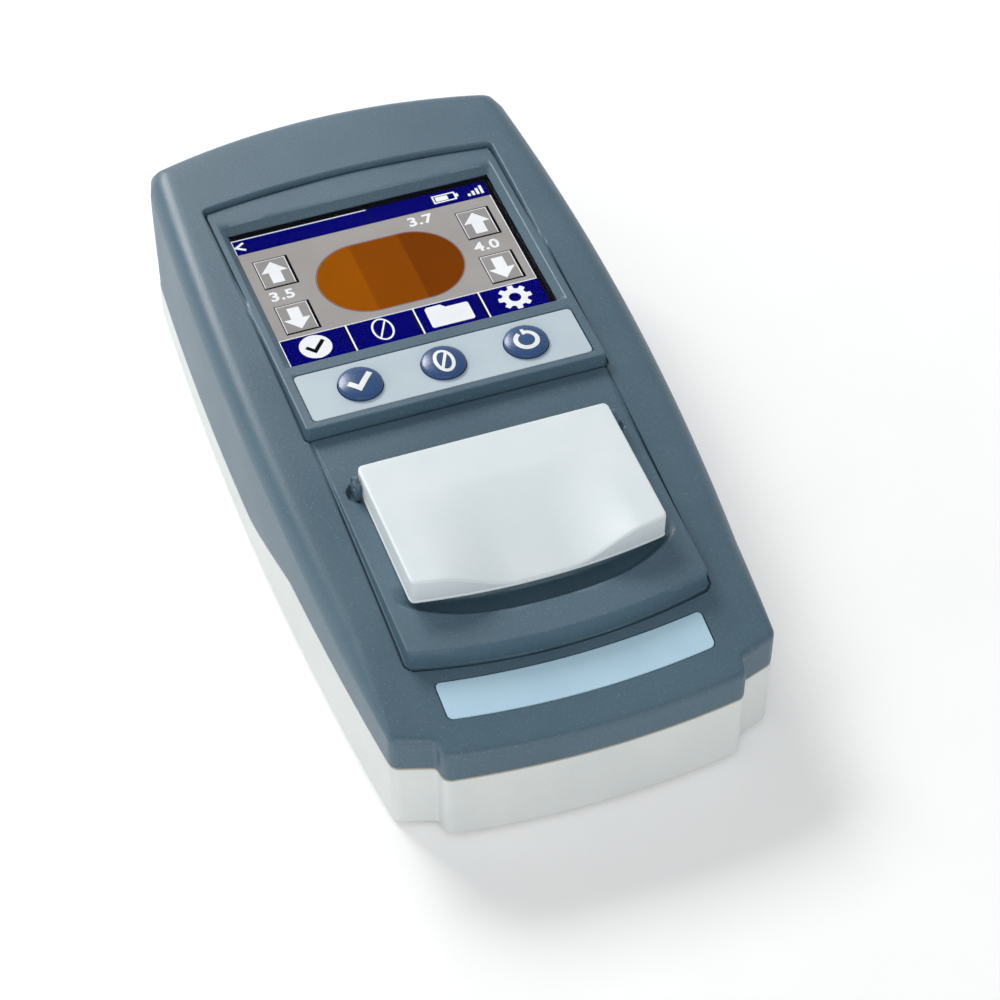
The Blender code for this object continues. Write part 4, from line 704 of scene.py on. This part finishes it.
def make_pane_look():
    """Clear cast acrylic with an anti-reflection coat, which its low index stands for, and faint hazing."""
    look, shader = finish("coated_clear_acrylic", IOR=1.12, Transmission_Weight=1.0)
    shader.inputs["Base Color"].default_value = (0.97, 0.98, 0.98, 1.0)
    place = node(look, "TexCoord").outputs["Object"]
    haze = node(look, "TexNoise", {"Vector": place, "Scale": 120.0, "Detail": 2.0})
    gloss = node(look, "MapRange", {"Value": haze.outputs["Fac"], "To Min": 0.0, "To Max": 0.03})
    look.node_tree.links.new(gloss.outputs["Result"], shader.inputs["Roughness"])
    return look


PANE = make_pane_look()


def dress(look, *nodes):
    """Give CAD nodes whose shapes stay a finish in place of their plain one."""
    for name in nodes:
        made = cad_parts[name]
        made.data.materials.clear()
        made.data.materials.append(look)


dress(PANE, "display_window", "source_window", "detector_window")
dress(BLACK, "display_module", "display_frame", "sample_well", "battery_tray", "buzzer", "detector_sensor",
      "switch_check", "switch_zero", "switch_power")
# Fibreglass circuit board under a green solder mask: satin, with the weave just showing.
BOARD = textured("green_fibreglass_board", ("1c4a30", "265a3b"), (0.30, 0.42), 0.6, 0.008, stretch=(1, 1, 1), IOR=1.55)
# Printed shrink film round the alkaline cells: dark, smooth and glossy.
CELL_WRAP = textured("cell_shrink_film", ("2b3138", "353c44"), (0.22, 0.30), 0.5, 0.003, patch=25.0, IOR=1.50)
# Clear epoxy of the light source, faintly milky from its diffusing filler.
LAMP_EPOXY = textured("clear_lamp_epoxy", ("dfe4e2", "eceeea"), (0.12, 0.22), 0.4, 0.002, patch=4.0, IOR=1.53,
                      Transmission_Weight=0.6)

dress(BOARD, "main_board", "source_board", "detector_board")
dress(CELL_WRAP, "battery_cell_1", "battery_cell_2", "battery_cell_3", "battery_cell_4")
dress(LAMP_EPOXY, "source_lamp")
dress(RUBBER, "light_seal", "foot_1", "foot_2", "foot_3", "foot_4")
dress(PALE_GREY, "battery_door")
dress(STEEL, "usb_socket", "contact_front", "contact_rear", "housing_screw_1", "housing_screw_2",
      "housing_screw_3", "housing_screw_4", "board_screw_1", "board_screw_2", "board_screw_3", "board_screw_4")


# Shells, seam and lid

make_cover_shell()


FOOT_PLACES = [(side * x, y) for x, y in ((34.0, -66.0), (29.0, 85.5)) for side in (-1, 1)]
SCREW_PLACES = [(side * 38.5, y) for y in (-78.5, 80.0) for side in (-1, 1)]
DOOR_Y = 44.004
DOOR_HALF = (30.0, 26.0)


def make_base_case():
    """The pale lower shell: an inner wall, a rounded rim, drafted walls, a small bottom edge and the floor.

    The floor has an opening for the battery door, seats for the feet and bores for the screws.
    """
    skin = Skin()
    plan, away = BODY.whole()
    high = seam_z(plan[:, 1]) - SEAM_HALF_GAP
    rows = [(SHELL_WALL, high - 4.0), (SHELL_WALL, high), (RIM_EDGE, high), (RIM_EDGE * 0.3, high - RIM_EDGE * 0.3),
            (0.0, high - RIM_EDGE)]
    low = BASE_BOTTOM + BASE_EDGE
    rows += [(0.0, low + (high - RIM_EDGE - low) * share) for share in (0.75, 0.5, 0.25, 0.0)]
    rows += [(BASE_EDGE * (1 - math.cos(angle)), low - BASE_EDGE * math.sin(angle))
             for angle in np.radians((25, 50, 70, 90))]
    previous = None
    for inset, z in rows:
        row = skin.add(drafted(plan - away * inset, z))
        if previous is not None:
            skin.strip(previous, row)
        previous = row
    outer = np.concatenate(skin.points)[previous][:, :2]
    openings = [(rounded_box(DOOR_HALF[0] + 0.3, DOOR_HALF[1] + 0.3, 2.3, 0, DOOR_Y), 1.6, False)]
    openings += [(ring(5.3, x, y), 0.5, True) for x, y in FOOT_PLACES]
    openings += [(ring(3.0, x, y, 32), 3.0, False) for x, y in SCREW_PLACES]
    loops, numbers = [outer], [previous]
    for loop, deep, closed in openings:
        lower, upper = skin.add(level(loop, BASE_BOTTOM)), skin.add(level(loop, BASE_BOTTOM + deep))
        skin.strip(lower, upper)
        loops.append(loop)
        numbers.append(lower)
        if closed:
            fill(skin, [loop], 0, numbers=[upper], down=True)
    fill(skin, loops, 0, numbers=numbers, down=True)
    made = skin.piece("base_case", PALE_GREY, slot="pale_grey_plastic")
    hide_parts("base_shell")


def make_seam_ring():
    """The beige elastomer in the seam: a closed band that follows the break in the seam."""
    skin = Skin()
    plan, away = BODY.whole()
    middle = seam_z(plan[:, 1])
    section = [(1.7, 0.2), (0.28, 0.2), (0.16, 0.12), (0.16, -0.12), (0.28, -0.2), (1.7, -0.2)]
    rows = [skin.add(drafted(plan - away * inset, middle + shift)) for inset, shift in section]
    for upper, lower in zip(rows, rows[1:] + rows[:1]):
        skin.strip(upper, lower)
    made = skin.piece("seam_ring", TAN, slot="tan_elastomer")
    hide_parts("seam_gasket")


# Lid: its own frame has the hinge axis along X through the origin

LID_HALF = 29.7
LID_FRONT = -37.104
LID_REAR = 2.5
LID_SAG = 3.2
LID_FILLET = 0.5
LID_ARCH = 0.7
LID_BEAD = (0.15, 0.45)
LID_TILT = math.atan2(4.6, 64.095)
SCOOP = (5.4, 27.0)


def from_lid_frame(points):
    """Turn points from the lid's frame by its tilt and move them to the hinge."""
    x, y, z = np.moveaxis(np.asarray(points, float), -1, 0)
    cos, sin = math.cos(LID_TILT), math.sin(LID_TILT)
    return np.stack([x, y * cos - z * sin, y * sin + z * cos], axis=-1) + LID_PLACE


def lid_top(x, y):
    """The lid's top: a gentle rise to the front, less a scoop that fades to its sides and its rear."""
    rise = 3.1 + 1.5 * (LID_REAR - y) / (LID_REAR - LID_FRONT)
    ahead = LID_FRONT + LID_SAG * (x / LID_HALF) ** 2 + SCOOP[1] - y
    depth = np.clip(ahead / SCOOP[1], 0, 1.05) ** 1.3
    return rise - SCOOP[0] * depth * (1 - smooth(6.0, 24.0, np.abs(x)))


def make_lid():
    """The hinged lid: a grid over its scooped top, a fillet, walls, a round knuckle and a hollow underside."""
    front_x = np.append(np.linspace(0, LID_HALF - 2.2, 38), LID_HALF)
    front = np.stack([front_x, LID_FRONT + LID_SAG * (front_x / LID_HALF) ** 2], axis=1)
    side = [(LID_HALF, y) for y in np.linspace(front[-1, 1] + 3, LID_REAR - 3, 22)]
    rear = [(x, LID_REAR) for x in [LID_HALF, *np.linspace(LID_HALF - 2, 0, 29)]]
    outline = Plan(rounded_run([*front.tolist(), *side, *rear], [0] * 38 + [1.0] + [0] * 22 + [1.3] + [0] * 29))

    inner = LID_HALF - 1.5
    half = np.linspace(0, inner, 40)
    columns = np.concatenate([-half[:0:-1], half])
    rows = np.linspace(LID_FRONT + 1.5, LID_REAR - 1.5, 56)
    x, v = np.meshgrid(columns, rows)
    y = v + LID_SAG / LID_HALF ** 2 * np.clip((-12 - v) / 22, 0, 1) * x ** 2
    skin = Skin()

    def put(points):
        return skin.add(from_lid_frame(points))

    numbers = put(np.stack([x, y, lid_top(x, y)], axis=-1))
    skin.grid(numbers)
    edge = rim(numbers)
    points = np.stack([rim(x), rim(y)], axis=1)
    end = 2 * inner + y[-1, -1] - y[0, -1]
    plan, away, _ = outline.beside(points, [
        (0, 0), (inner, outline.near(LID_HALF, LID_FRONT + LID_SAG)), (inner + 2, outline.near(LID_HALF, -31.0)),
        (inner + y[-1, -1] - y[0, -1] - 2, outline.near(LID_HALF, LID_REAR - 3)),
        (inner + y[-1, -1] - y[0, -1], outline.near(LID_HALF, LID_REAR)), (end, outline.run[-1])])
    previous = edge
    for angle in np.radians(np.linspace(90, 0, 9)):
        ring_plan = plan - away * LID_FILLET * (1 - math.cos(angle))
        z = lid_top(ring_plan[:, 0], ring_plan[:, 1]) - LID_FILLET * (1 - math.sin(angle))
        row = put(level(ring_plan, z))
        skin.strip(previous, row)
        previous = row
    upper = z
    floor = -2.5 + LID_ARCH * (1 - (plan[:, 0] / LID_HALF) ** 2) * (plan[:, 1] < -25)
    bead_out, bead_high = LID_BEAD
    walls = [(upper + (floor + bead_high + bead_out - upper) * drop, 0.0) for drop in (0.15, 0.35, 0.55, 0.75, 0.9, 1.0)]
    walls += [(floor + bead_high, bead_out), (floor + 0.12, bead_out), (floor, bead_out - 0.12)]
    for z, bulge in walls:
        knuckle = np.sqrt(np.maximum(LID_REAR ** 2 - np.minimum(z, 0) ** 2, 0))
        plan_now = plan + away * (bulge * (plan[:, 1] < -3.0))[:, None]
        plan_now = np.stack([plan_now[:, 0], np.minimum(plan_now[:, 1], knuckle)], axis=1)
        row = put(level(plan_now, z))
        skin.strip(previous, row)
        previous = row

    hollow = rounded_box(27.5, 12.9, 1.0, 0, -17.9)
    room = rounded_box(19.1, 9.3, 1.0, 0, -14.304)
    hollow_low, hollow_high = put(level(hollow, -2.5)), put(level(hollow, -0.3))
    room_high = room_top = put(level(room, lid_top(room[:, 0], room[:, 1]) - 1.8))
    room_low = put(level(room, -0.3))
    skin.strip(hollow_low, hollow_high)
    skin.strip(room_low, room_high)
    fill(skin, [plan_now, hollow], 0, numbers=[previous, hollow_low], down=True)
    fill(skin, [hollow, room], 0, numbers=[hollow_high, room_low], down=True)
    fill(skin, [room], 0, numbers=[room_top], down=True)
    made = skin.piece("hinged_lid", PALE_WHITE, body="lid", slot="pale_white_plastic")
    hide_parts("sample_lid")


LUG_RADIUS = 2.0


def make_hinge():
    """Two slate lugs beside the lid, each a rounded block with a bore, and the steel pin through them."""
    angle = np.arange(48) * 2 * math.pi / 48
    cos, sin = np.cos(angle), np.sin(angle)
    foot = 3.6
    reach = np.minimum(LUG_RADIUS / np.maximum(np.abs(cos), 1e-6), foot / np.maximum(-sin, 1e-6))
    reach = np.where(sin > 0, LUG_RADIUS, reach)
    for side, name in ((-1, "left"), (1, "right")):
        skin = Skin()
        near, far = 30.0 * side, 31.3 * side
        edge = 0.25 * side
        rows = []
        for x, radius in ((near, 1.3), (near, reach - 0.25), (near + edge, reach), (far - edge, reach),
                          (far, reach - 0.25), (far, 1.45), (far - edge, 1.3)):
            radius = np.broadcast_to(radius, len(angle))
            points = np.stack([np.full(len(angle), x), radius * cos, radius * sin], axis=1)
            rows.append(skin.add(from_lid_frame(points)))
        for first, second in zip(rows, rows[1:] + rows[:1]):
            pair = (first, second) if side > 0 else (second, first)
            skin.strip(*pair[::-1])
        skin.piece("hinge_lug_" + name, SLATE, slot="slate_plastic")
    skin = Skin()
    turned(skin, [(0, 31.2), (0.95, 31.2), (1.15, 31.0), (1.15, -31.0), (0.95, -31.2), (0, -31.2)],
           LID_PLACE, axis="X", count=32)
    made = skin.piece("turned_hinge_pin", STEEL, slot="steel")
    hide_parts("lid_hinge_pin")


# Foil, keys and label

def make_foil():
    """The keypad foil: a plate with softly rounded edges and three round holes."""
    skin = Skin()
    outline = divided(rounded_box(FOIL_HALF[0], FOIL_HALF[1], 1.2, 0, KEY_Y), 4.0)
    inner = divided(rounded_box(FOIL_HALF[0] - 0.12, FOIL_HALF[1] - 0.12, 1.08, 0, KEY_Y), 4.0)
    holes = [ring(KEY_RADIUS + 0.2, x, KEY_Y, 72) for x in KEY_PLACES.values()]
    top = skin.add(level(inner, PANEL_TOP))
    skin.strip(top, skin.add(level(outline, PANEL_TOP - 0.12)))
    skin.strip(skin.add(level(outline, PANEL_TOP - 0.12)), skin.add(level(outline, PANEL_TOP - 0.5)))
    rims = [skin.add(level(hole, PANEL_TOP)) for hole in holes]
    for hole, upper in zip(holes, rims):
        skin.strip(skin.add(level(hole, PANEL_TOP - 0.5)), upper)
    fill(skin, [inner, *holes], 0, numbers=[top, *rims])
    made = skin.piece("printed_foil", FOIL, slot="keypad_foil")
    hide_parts("keypad_foil")


def key_dome(x, y, centre):
    """Height of a key's dome: half an ellipse over its radius."""
    share = ((x - centre) ** 2 + (y - KEY_Y) ** 2) / KEY_RADIUS ** 2
    return KEY_RIM + KEY_DOME * np.sqrt(np.maximum(1 - share, 0.0))


def make_keys():
    """Three turned keys: a dome, a rounded rim and a skirt with its flange and plunger."""
    angles = np.radians((0, 10, 20, 30, 40, 50, 60, 68, 75, 81, 86, 90))
    dome = [(KEY_RADIUS * math.sin(a), KEY_RIM + KEY_DOME * math.cos(a)) for a in angles]
    lower = [(KEY_RADIUS, 43.0), (KEY_RADIUS, 41.4), (6.35, 41.4), (6.35, 40.2), (1.7, 40.2), (1.7, 39.3), (0, 39.3)]
    for name, x in KEY_PLACES.items():
        skin = Skin()
        turned(skin, dome + lower, (x, KEY_Y, 0), count=96)
        made = skin.piece("domed_key_" + name, KEY_BLUE, body=name + "_key", slot="key_blue")
        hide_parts("key_" + name)


def make_label():
    """The bare label: nested outlines on the sloping front, with a small rounded edge."""
    skin = Skin()
    middle = LABEL_FRONT + LABEL_DEPTH / 2
    previous = None
    for inset, drop in ((0, 0.4), (0, 0.1), (0.03, 0.03), (0.1, 0), (0.3, 0), (0.9, 0), (1.8, 0), (2.8, 0), (3.8, 0)):
        loop = rounded_box(LABEL_HALF - inset, LABEL_DEPTH / 2 - inset, max(LABEL_CORNER - inset, 0.2), steps=6)
        corner = 7
        loop = np.concatenate([
            np.concatenate([loop[k * corner:(k + 1) * corner - 1],
                            loop[(k + 1) * corner - 1] + (loop[(k + 1) * corner % len(loop)]
                            - loop[(k + 1) * corner - 1]) * np.linspace(0, 1, count, endpoint=False)[:, None]])
            for k, count in enumerate((40, 8, 40, 8))])
        x, y = loop[:, 0], loop[:, 1] + middle + LABEL_SAG * (loop[:, 0] / LABEL_HALF) ** 2
        row = skin.add(np.stack([x, y, top_z(y) - drop], axis=1))
        if previous is not None:
            skin.strip(row, previous)
        previous = row
    fill(skin, [np.stack([x, y], axis=1)], 0, numbers=[previous])
    made = skin.piece("blank_label", LABEL, slot="label_blue")
    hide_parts("front_label")


# Picture on the display and marks on the keys

PICTURE_Z = 40.42
PICTURE_HALF = 32.3
LAYER = 0.02


def bar(left, low, right, high):
    """A rectangle in plan, anticlockwise."""
    return np.array([(left, low), (right, low), (right, high), (left, high)], float)


def frame_of(left, low, right, high, sides):
    """Four bars within a rectangle; their widths are given as left, bottom, right and top."""
    a, b, c, d = sides
    bars = [bar(left, low, left + a, high), bar(left + a, low, right - c, low + b),
            bar(right - c, low, right, high), bar(left + a, high - d, right - c, high)]
    return [one for one, side in zip(bars, sides) if side > 0]


def oval(half_x, half_y, x, y, count=64):
    """An ellipse in plan, anticlockwise."""
    return ring(1.0, count=count) * (half_x, half_y) + (x, y)


def block_arrow(x, y, way):
    """A block arrow about a middle point; way is 1 for up and -1 for down."""
    shape = np.array([(-1.45, -3.5), (1.45, -3.5), (1.45, 0.3), (3.2, 0.3), (0, 3.9), (-3.2, 0.3), (-1.45, 0.3)])
    return (shape * (1, way))[::way] + (x, y)


def stroke(points, width):
    """A line of even width along a run of points, with square ends and mitred corners."""
    points = np.array(points, float)
    step = np.diff(points, axis=0)
    step /= np.hypot(*step.T)[:, None]
    left = np.stack([-step[:, 1], step[:, 0]], axis=1)
    first, last = left[:1], left[-1:]
    middle = left[:-1] + left[1:]
    middle = middle / (1 + (left[:-1] * left[1:]).sum(axis=1))[:, None]
    away = np.concatenate([first, middle, last]) * width / 2
    return np.concatenate([points - away, (points + away)[::-1]])


def gear(radius, x, y, teeth=8):
    """A cog wheel's outline: its radius steps smoothly between the teeth and the gaps."""
    angle = np.arange(160) * 2 * math.pi / 160
    wave = np.clip(np.cos(teeth * angle) * 3.0 + 0.2, -1, 1)
    reach = radius * (0.87 + 0.13 * wave)
    return np.stack([x + reach * np.cos(angle), y + reach * np.sin(angle)], axis=1)


def digits(skin, figures, x, y, height, z):
    """Figures in the plain default face, made bolder, as flat faces about a middle point."""
    curve = bpy.data.curves.new("figures", "FONT")
    curve.body, curve.align_x, curve.align_y = figures, "CENTER", "CENTER"
    curve.size, curve.offset, curve.space_character = height / 0.70, 0.042 * height, 1.08
    holder = bpy.data.objects.new("figures", curve)
    mesh = bpy.data.meshes.new_from_object(holder)
    flat = np.array([tuple(v.co) for v in mesh.vertices])
    numbers = skin.add(flat * (1.12, 1, 0) + (x, y, z))
    skin.faces += [numbers[list(face.vertices)].tolist() for face in mesh.polygons]
    bpy.data.objects.remove(holder)
    bpy.data.curves.remove(curve)
    bpy.data.meshes.remove(mesh)


def print_on(skin, shapes, layer):
    """Fill several flat shapes of the picture, each a list of outlines, on a layer over the display."""
    for shape in shapes:
        fill(skin, shape if isinstance(shape, list) else [shape], PICTURE_Z + layer * LAYER)


def slashed_zero(x, y, half_x, half_y, width):
    """An upright zero with a slanting bar, as shapes."""
    slant = 0.55 * half_x
    return [[oval(half_x, half_y, x, y), oval(half_x - width, half_y - width, x, y)],
            stroke([(x - slant, y - half_y * 0.78), (x + slant, y + half_y * 0.78)], width * 0.85)]


def make_picture():
    """The display's picture, laid down in layers: field, bars, frames, the measured colour and white marks."""
    half = PICTURE_HALF
    parts = {name: Skin() for name in PICTURE_LOOKS}
    edge = half - 1.0
    print_on(parts["field"], [bar(-half, 26.2, edge, 57.4)], 0)
    print_on(parts["bars"], [bar(-half, 57.4, edge, 62.5), bar(-half, 15.0, edge, 26.2)], 0)
    print_on(parts["dark"], [bar(-half, 62.5, half, 64.0), bar(edge, 15.0, half, 62.5)], 0)
    print_on(parts["white"], [bar(-half, 62.2, 1.5, 62.5), bar(-half, 57.4, -half + 0.35, 62.2)], 1)
    print_on(parts["dark"], [bar(1.3, 57.4, 1.6, 62.2), bar(-half, 57.3, edge, 57.45)], 1)
    print_on(parts["white"], [bar(-half, 25.95, edge, 26.2), bar(edge - 0.2, 26.2, edge, 57.3)], 1)
    for x in (-half, -16.2, 0.25, 16.4):
        print_on(parts["white"], [bar(x, 15.0, x + 0.4, 25.95)], 1)
        if x > -half:
            print_on(parts["dark"], [bar(x - 0.5, 15.0, x, 25.95)], 1)

    for left, right in ((-29.4, -21.8), (21.1, 28.6)):
        for low, high, way in ((44.2, 53.6, 1), (27.9, 37.2, -1)):
            print_on(parts["shade"], [bar(left, low, right, high)], 1)
            print_on(parts["dark"], frame_of(left - 0.25, low - 0.5, right + 0.65, high + 0.25, (0.25, 0.5, 0.65, 0.25)), 2)
            print_on(parts["white"], frame_of(left, low, right, high, (0.2, 0.0, 0.2, 0.2)), 2)
            print_on(parts["white"], [block_arrow((left + right) / 2, (low + high) / 2 - 0.1, way)], 3)

    stadium = rounded_box(17.9, 11.9, 11.85, 0, 40.0, steps=24)
    print_on(parts["edge"], [[stadium, rounded_box(17.65, 11.65, 11.6, 0, 40.0, steps=24)]], 1)
    for name, low, high in (("amber_1", -18.0, -6.6), ("amber_2", -6.6, 5.6), ("amber_3", 5.6, 18.0)):
        loop = rounded_box(17.6, 11.6, 11.55, 0, 40.0, steps=24)
        clipped = np.stack([np.clip(loop[:, 0], low, high), loop[:, 1]], axis=1)
        kept = np.hypot(*(clipped - np.roll(clipped, 1, axis=0)).T) > 1e-6
        print_on(parts[name], [clipped[kept]], 1)

    y = 21.9
    print_on(parts["white"], [oval(3.85, 3.85, -24.6, y - 0.2)], 3)
    print_on(parts["dark"], [stroke([(-26.8, y + 0.1), (-25.1, y - 1.7), (-22.3, y + 1.5)], 1.0)], 4)
    print_on(parts["white"], slashed_zero(-8.2, y, 2.6, 3.7, 0.5), 3)
    print_on(parts["white"], [np.array([
        (3.2, y - 3.7), (12.9, y - 3.7), (13.3, y - 3.3), (13.3, y + 1.8), (12.9, y + 2.2), (7.9, y + 2.2),
        (6.9, y + 3.3), (3.5, y + 3.3), (2.9, y + 2.7), (2.8, y - 3.3)])], 3)
    print_on(parts["white"], [[gear(4.05, 24.2, y - 0.3), oval(1.45, 1.45, 24.2, y - 0.3)]], 3)
    print_on(parts["white"], [stroke([(-29.5, 61.2), (-31.6, 59.9), (-29.5, 58.6)], 0.65)], 3)
    print_on(parts["white"], frame_of(17.6, 58.6, 23.4, 61.4, (0.4, 0.4, 0.4, 0.4)), 3)
    print_on(parts["white"], [bar(23.4, 59.4, 24.0, 60.6), bar(18.3, 59.2, 21.4, 60.8)], 3)
    print_on(parts["white"], [bar(26.2 + 1.1 * k, 58.5, 26.9 + 1.1 * k, 59.4 + 0.65 * k) for k in range(4)], 3)
    top = PICTURE_Z + 3 * LAYER
    digits(parts["white"], "3.5", -26.4, 40.7, 2.95, top)
    digits(parts["white"], "4.0", 24.2, 40.6, 2.95, top)
    digits(parts["white"], "3.7", 12.4, 54.3, 2.95, top)
    for name, skin in parts.items():
        skin.piece("picture_" + name, PICTURE_LOOKS[name], slot="display_face")


def make_key_marks():
    """White marks printed on the keys' domes: a tick, a slashed zero and a ring with a start mark."""
    places = KEY_PLACES
    power = np.radians(np.linspace(118, 452, 60))
    arc = np.concatenate([
        np.stack([radius * np.cos(a), radius * np.sin(a)], axis=1) for radius, a in ((3.05, power), (1.95, power[::-1]))])
    shapes = {
        "check": [stroke([(-2.9, 0.3), (-0.8, -1.9), (2.9, 2.4)], 1.35)],
        "zero": slashed_zero(0, 0, 2.45, 3.6, 0.85),
        "power": [arc, bar(-0.4, 1.7, 0.4, 3.7)]}
    for name, outlines in shapes.items():
        skin = Skin()
        centre = places[name]
        for shape in outlines:
            loops = shape if isinstance(shape, list) else [shape]
            loops = [divided(loop + (centre, KEY_Y - 0.35), 0.35) for loop in loops]
            fill(skin, loops, lambda x, y: key_dome(x, y, centre) + 0.03, spacing=0.5)
        skin.piece("key_mark_" + name, WHITE_PRINT, body=name + "_key", slot="key_blue")


make_base_case()
make_seam_ring()
make_lid()
make_hinge()
make_foil()
make_keys()
make_label()
make_picture()
make_key_marks()


# Camera, floor and light

def make_camera():
    """A camera that stands where the photograph's did: lens, place and turn."""
    azimuth, elevation, roll = (math.radians(a) for a in (-20.65, 45.85, 0.36))
    right = Vector((math.cos(azimuth), math.sin(azimuth), 0))
    ahead = Vector((-math.sin(azimuth) * math.cos(elevation), math.cos(azimuth) * math.cos(elevation),
                    -math.sin(elevation)))
    up = right.cross(ahead)
    across = math.cos(roll) * right + math.sin(roll) * up
    upright = -math.sin(roll) * right + math.cos(roll) * up
    data = bpy.data.cameras.new("camera")
    data.sensor_width = 36.0
    data.lens = 3.838 * 36.0
    data.clip_end = 20.0
    camera = bpy.data.objects.new("camera", data)
    turn = Matrix((across, upright, -ahead)).transposed().to_4x4()
    camera.matrix_world = Matrix.Translation((-0.209926, -0.590566, 0.648033)) @ turn
    bpy.context.collection.objects.link(camera)
    bpy.context.scene.camera = camera


make_camera()


def add_softbox(name, towards, distance, size, share, colour):
    """A rectangular lamp in a direction, aimed at the origin.

    Its power gives a surface that faces it the share of full brightness:
    power = share x pi squared x distance squared.
    """
    data = bpy.data.lights.new(name, "AREA")
    data.shape, data.size, data.size_y = "RECTANGLE", size[0], size[1]
    data.energy, data.color = share * math.pi ** 2 * distance ** 2, colour
    lamp = bpy.data.objects.new(name, data)
    lamp.visible_camera = False
    way = Vector(towards).normalized()
    lamp.location = way * distance
    lamp.rotation_euler = (-way).to_track_quat("-Z", "Y").to_euler()
    bpy.context.collection.objects.link(lamp)


def make_studio():
    """A white floor that keeps the shadow, a pale surround that darkens overhead, and three softboxes."""
    look, shader = finish("matt_white_floor", Roughness=0.9)
    place = node(look, "TexCoord").outputs["Object"]
    speck = node(look, "TexNoise", {"Vector": place, "Scale": 40.0, "Detail": 2.0})
    tone = node(look, "ValToRGB", {"Fac": speck.outputs["Fac"]})
    tone.color_ramp.elements[0].color, tone.color_ramp.elements[1].color = srgb("f4f5f5"), srgb("f8f8f8")
    look.node_tree.links.new(tone.outputs["Color"], shader.inputs["Base Color"])
    path = node(look, "LightPath")
    seen = node(look, "Math", {0: path.outputs["Is Camera Ray"], 1: path.outputs["Is Glossy Ray"]}, operation="MAXIMUM")
    seen = node(look, "Math", {0: seen.outputs[0], 1: path.outputs["Is Transmission Ray"]}, operation="MAXIMUM")
    lift = node(look, "Math", {0: seen.outputs[0], 1: 0.13}, operation="MULTIPLY")
    look.node_tree.links.new(tone.outputs["Color"], shader.inputs["Emission Color"])
    look.node_tree.links.new(lift.outputs[0], shader.inputs["Emission Strength"])
    mesh = bpy.data.meshes.new("studio_floor")
    mesh.from_pydata([(-5, -5, 0), (5, -5, 0), (5, 5, 0), (-5, 5, 0)], [], [(0, 1, 2, 3)])
    mesh.materials.append(look)
    floor = bpy.data.objects.new("studio_floor", mesh)
    bpy.context.collection.objects.link(floor)

    world = bpy.data.worlds.new("studio")
    bpy.context.scene.world = world
    world.use_nodes = True
    background = world.node_tree.nodes["Background"]
    background.inputs["Color"].default_value = (0.97, 0.99, 1.0, 1.0)
    way = node(world, "SeparateXYZ", {"Vector": node(world, "TexCoord").outputs["Generated"]})
    height = node(world, "Clamp", {"Value": way.outputs["Z"]})
    low = node(world, "Math", {0: 1.0, 1: height.outputs[0]}, operation="SUBTRACT")
    low = node(world, "Math", {0: low.outputs[0], 1: 2.0}, operation="POWER")
    glow = node(world, "Math", {0: low.outputs[0], 1: 0.60, 2: 0.36}, operation="MULTIPLY_ADD")
    world.node_tree.links.new(glow.outputs[0], background.inputs["Strength"])
    add_softbox("key_lamp", (-0.2, 0.75, 0.64), 1.3, (0.60, 0.45), 0.72, (1.0, 0.99, 0.98))
    add_softbox("side_lamp", (-1.0, -0.05, 0.30), 1.2, (1.0, 0.5), 0.12, (1.0, 0.99, 0.97))
    add_softbox("fill_lamp", (-0.25, -0.95, 0.55), 1.5, (1.2, 0.8), 0.24, (1.0, 0.99, 0.98))
    bpy.context.scene.view_settings.view_transform = "Standard"


make_studio()
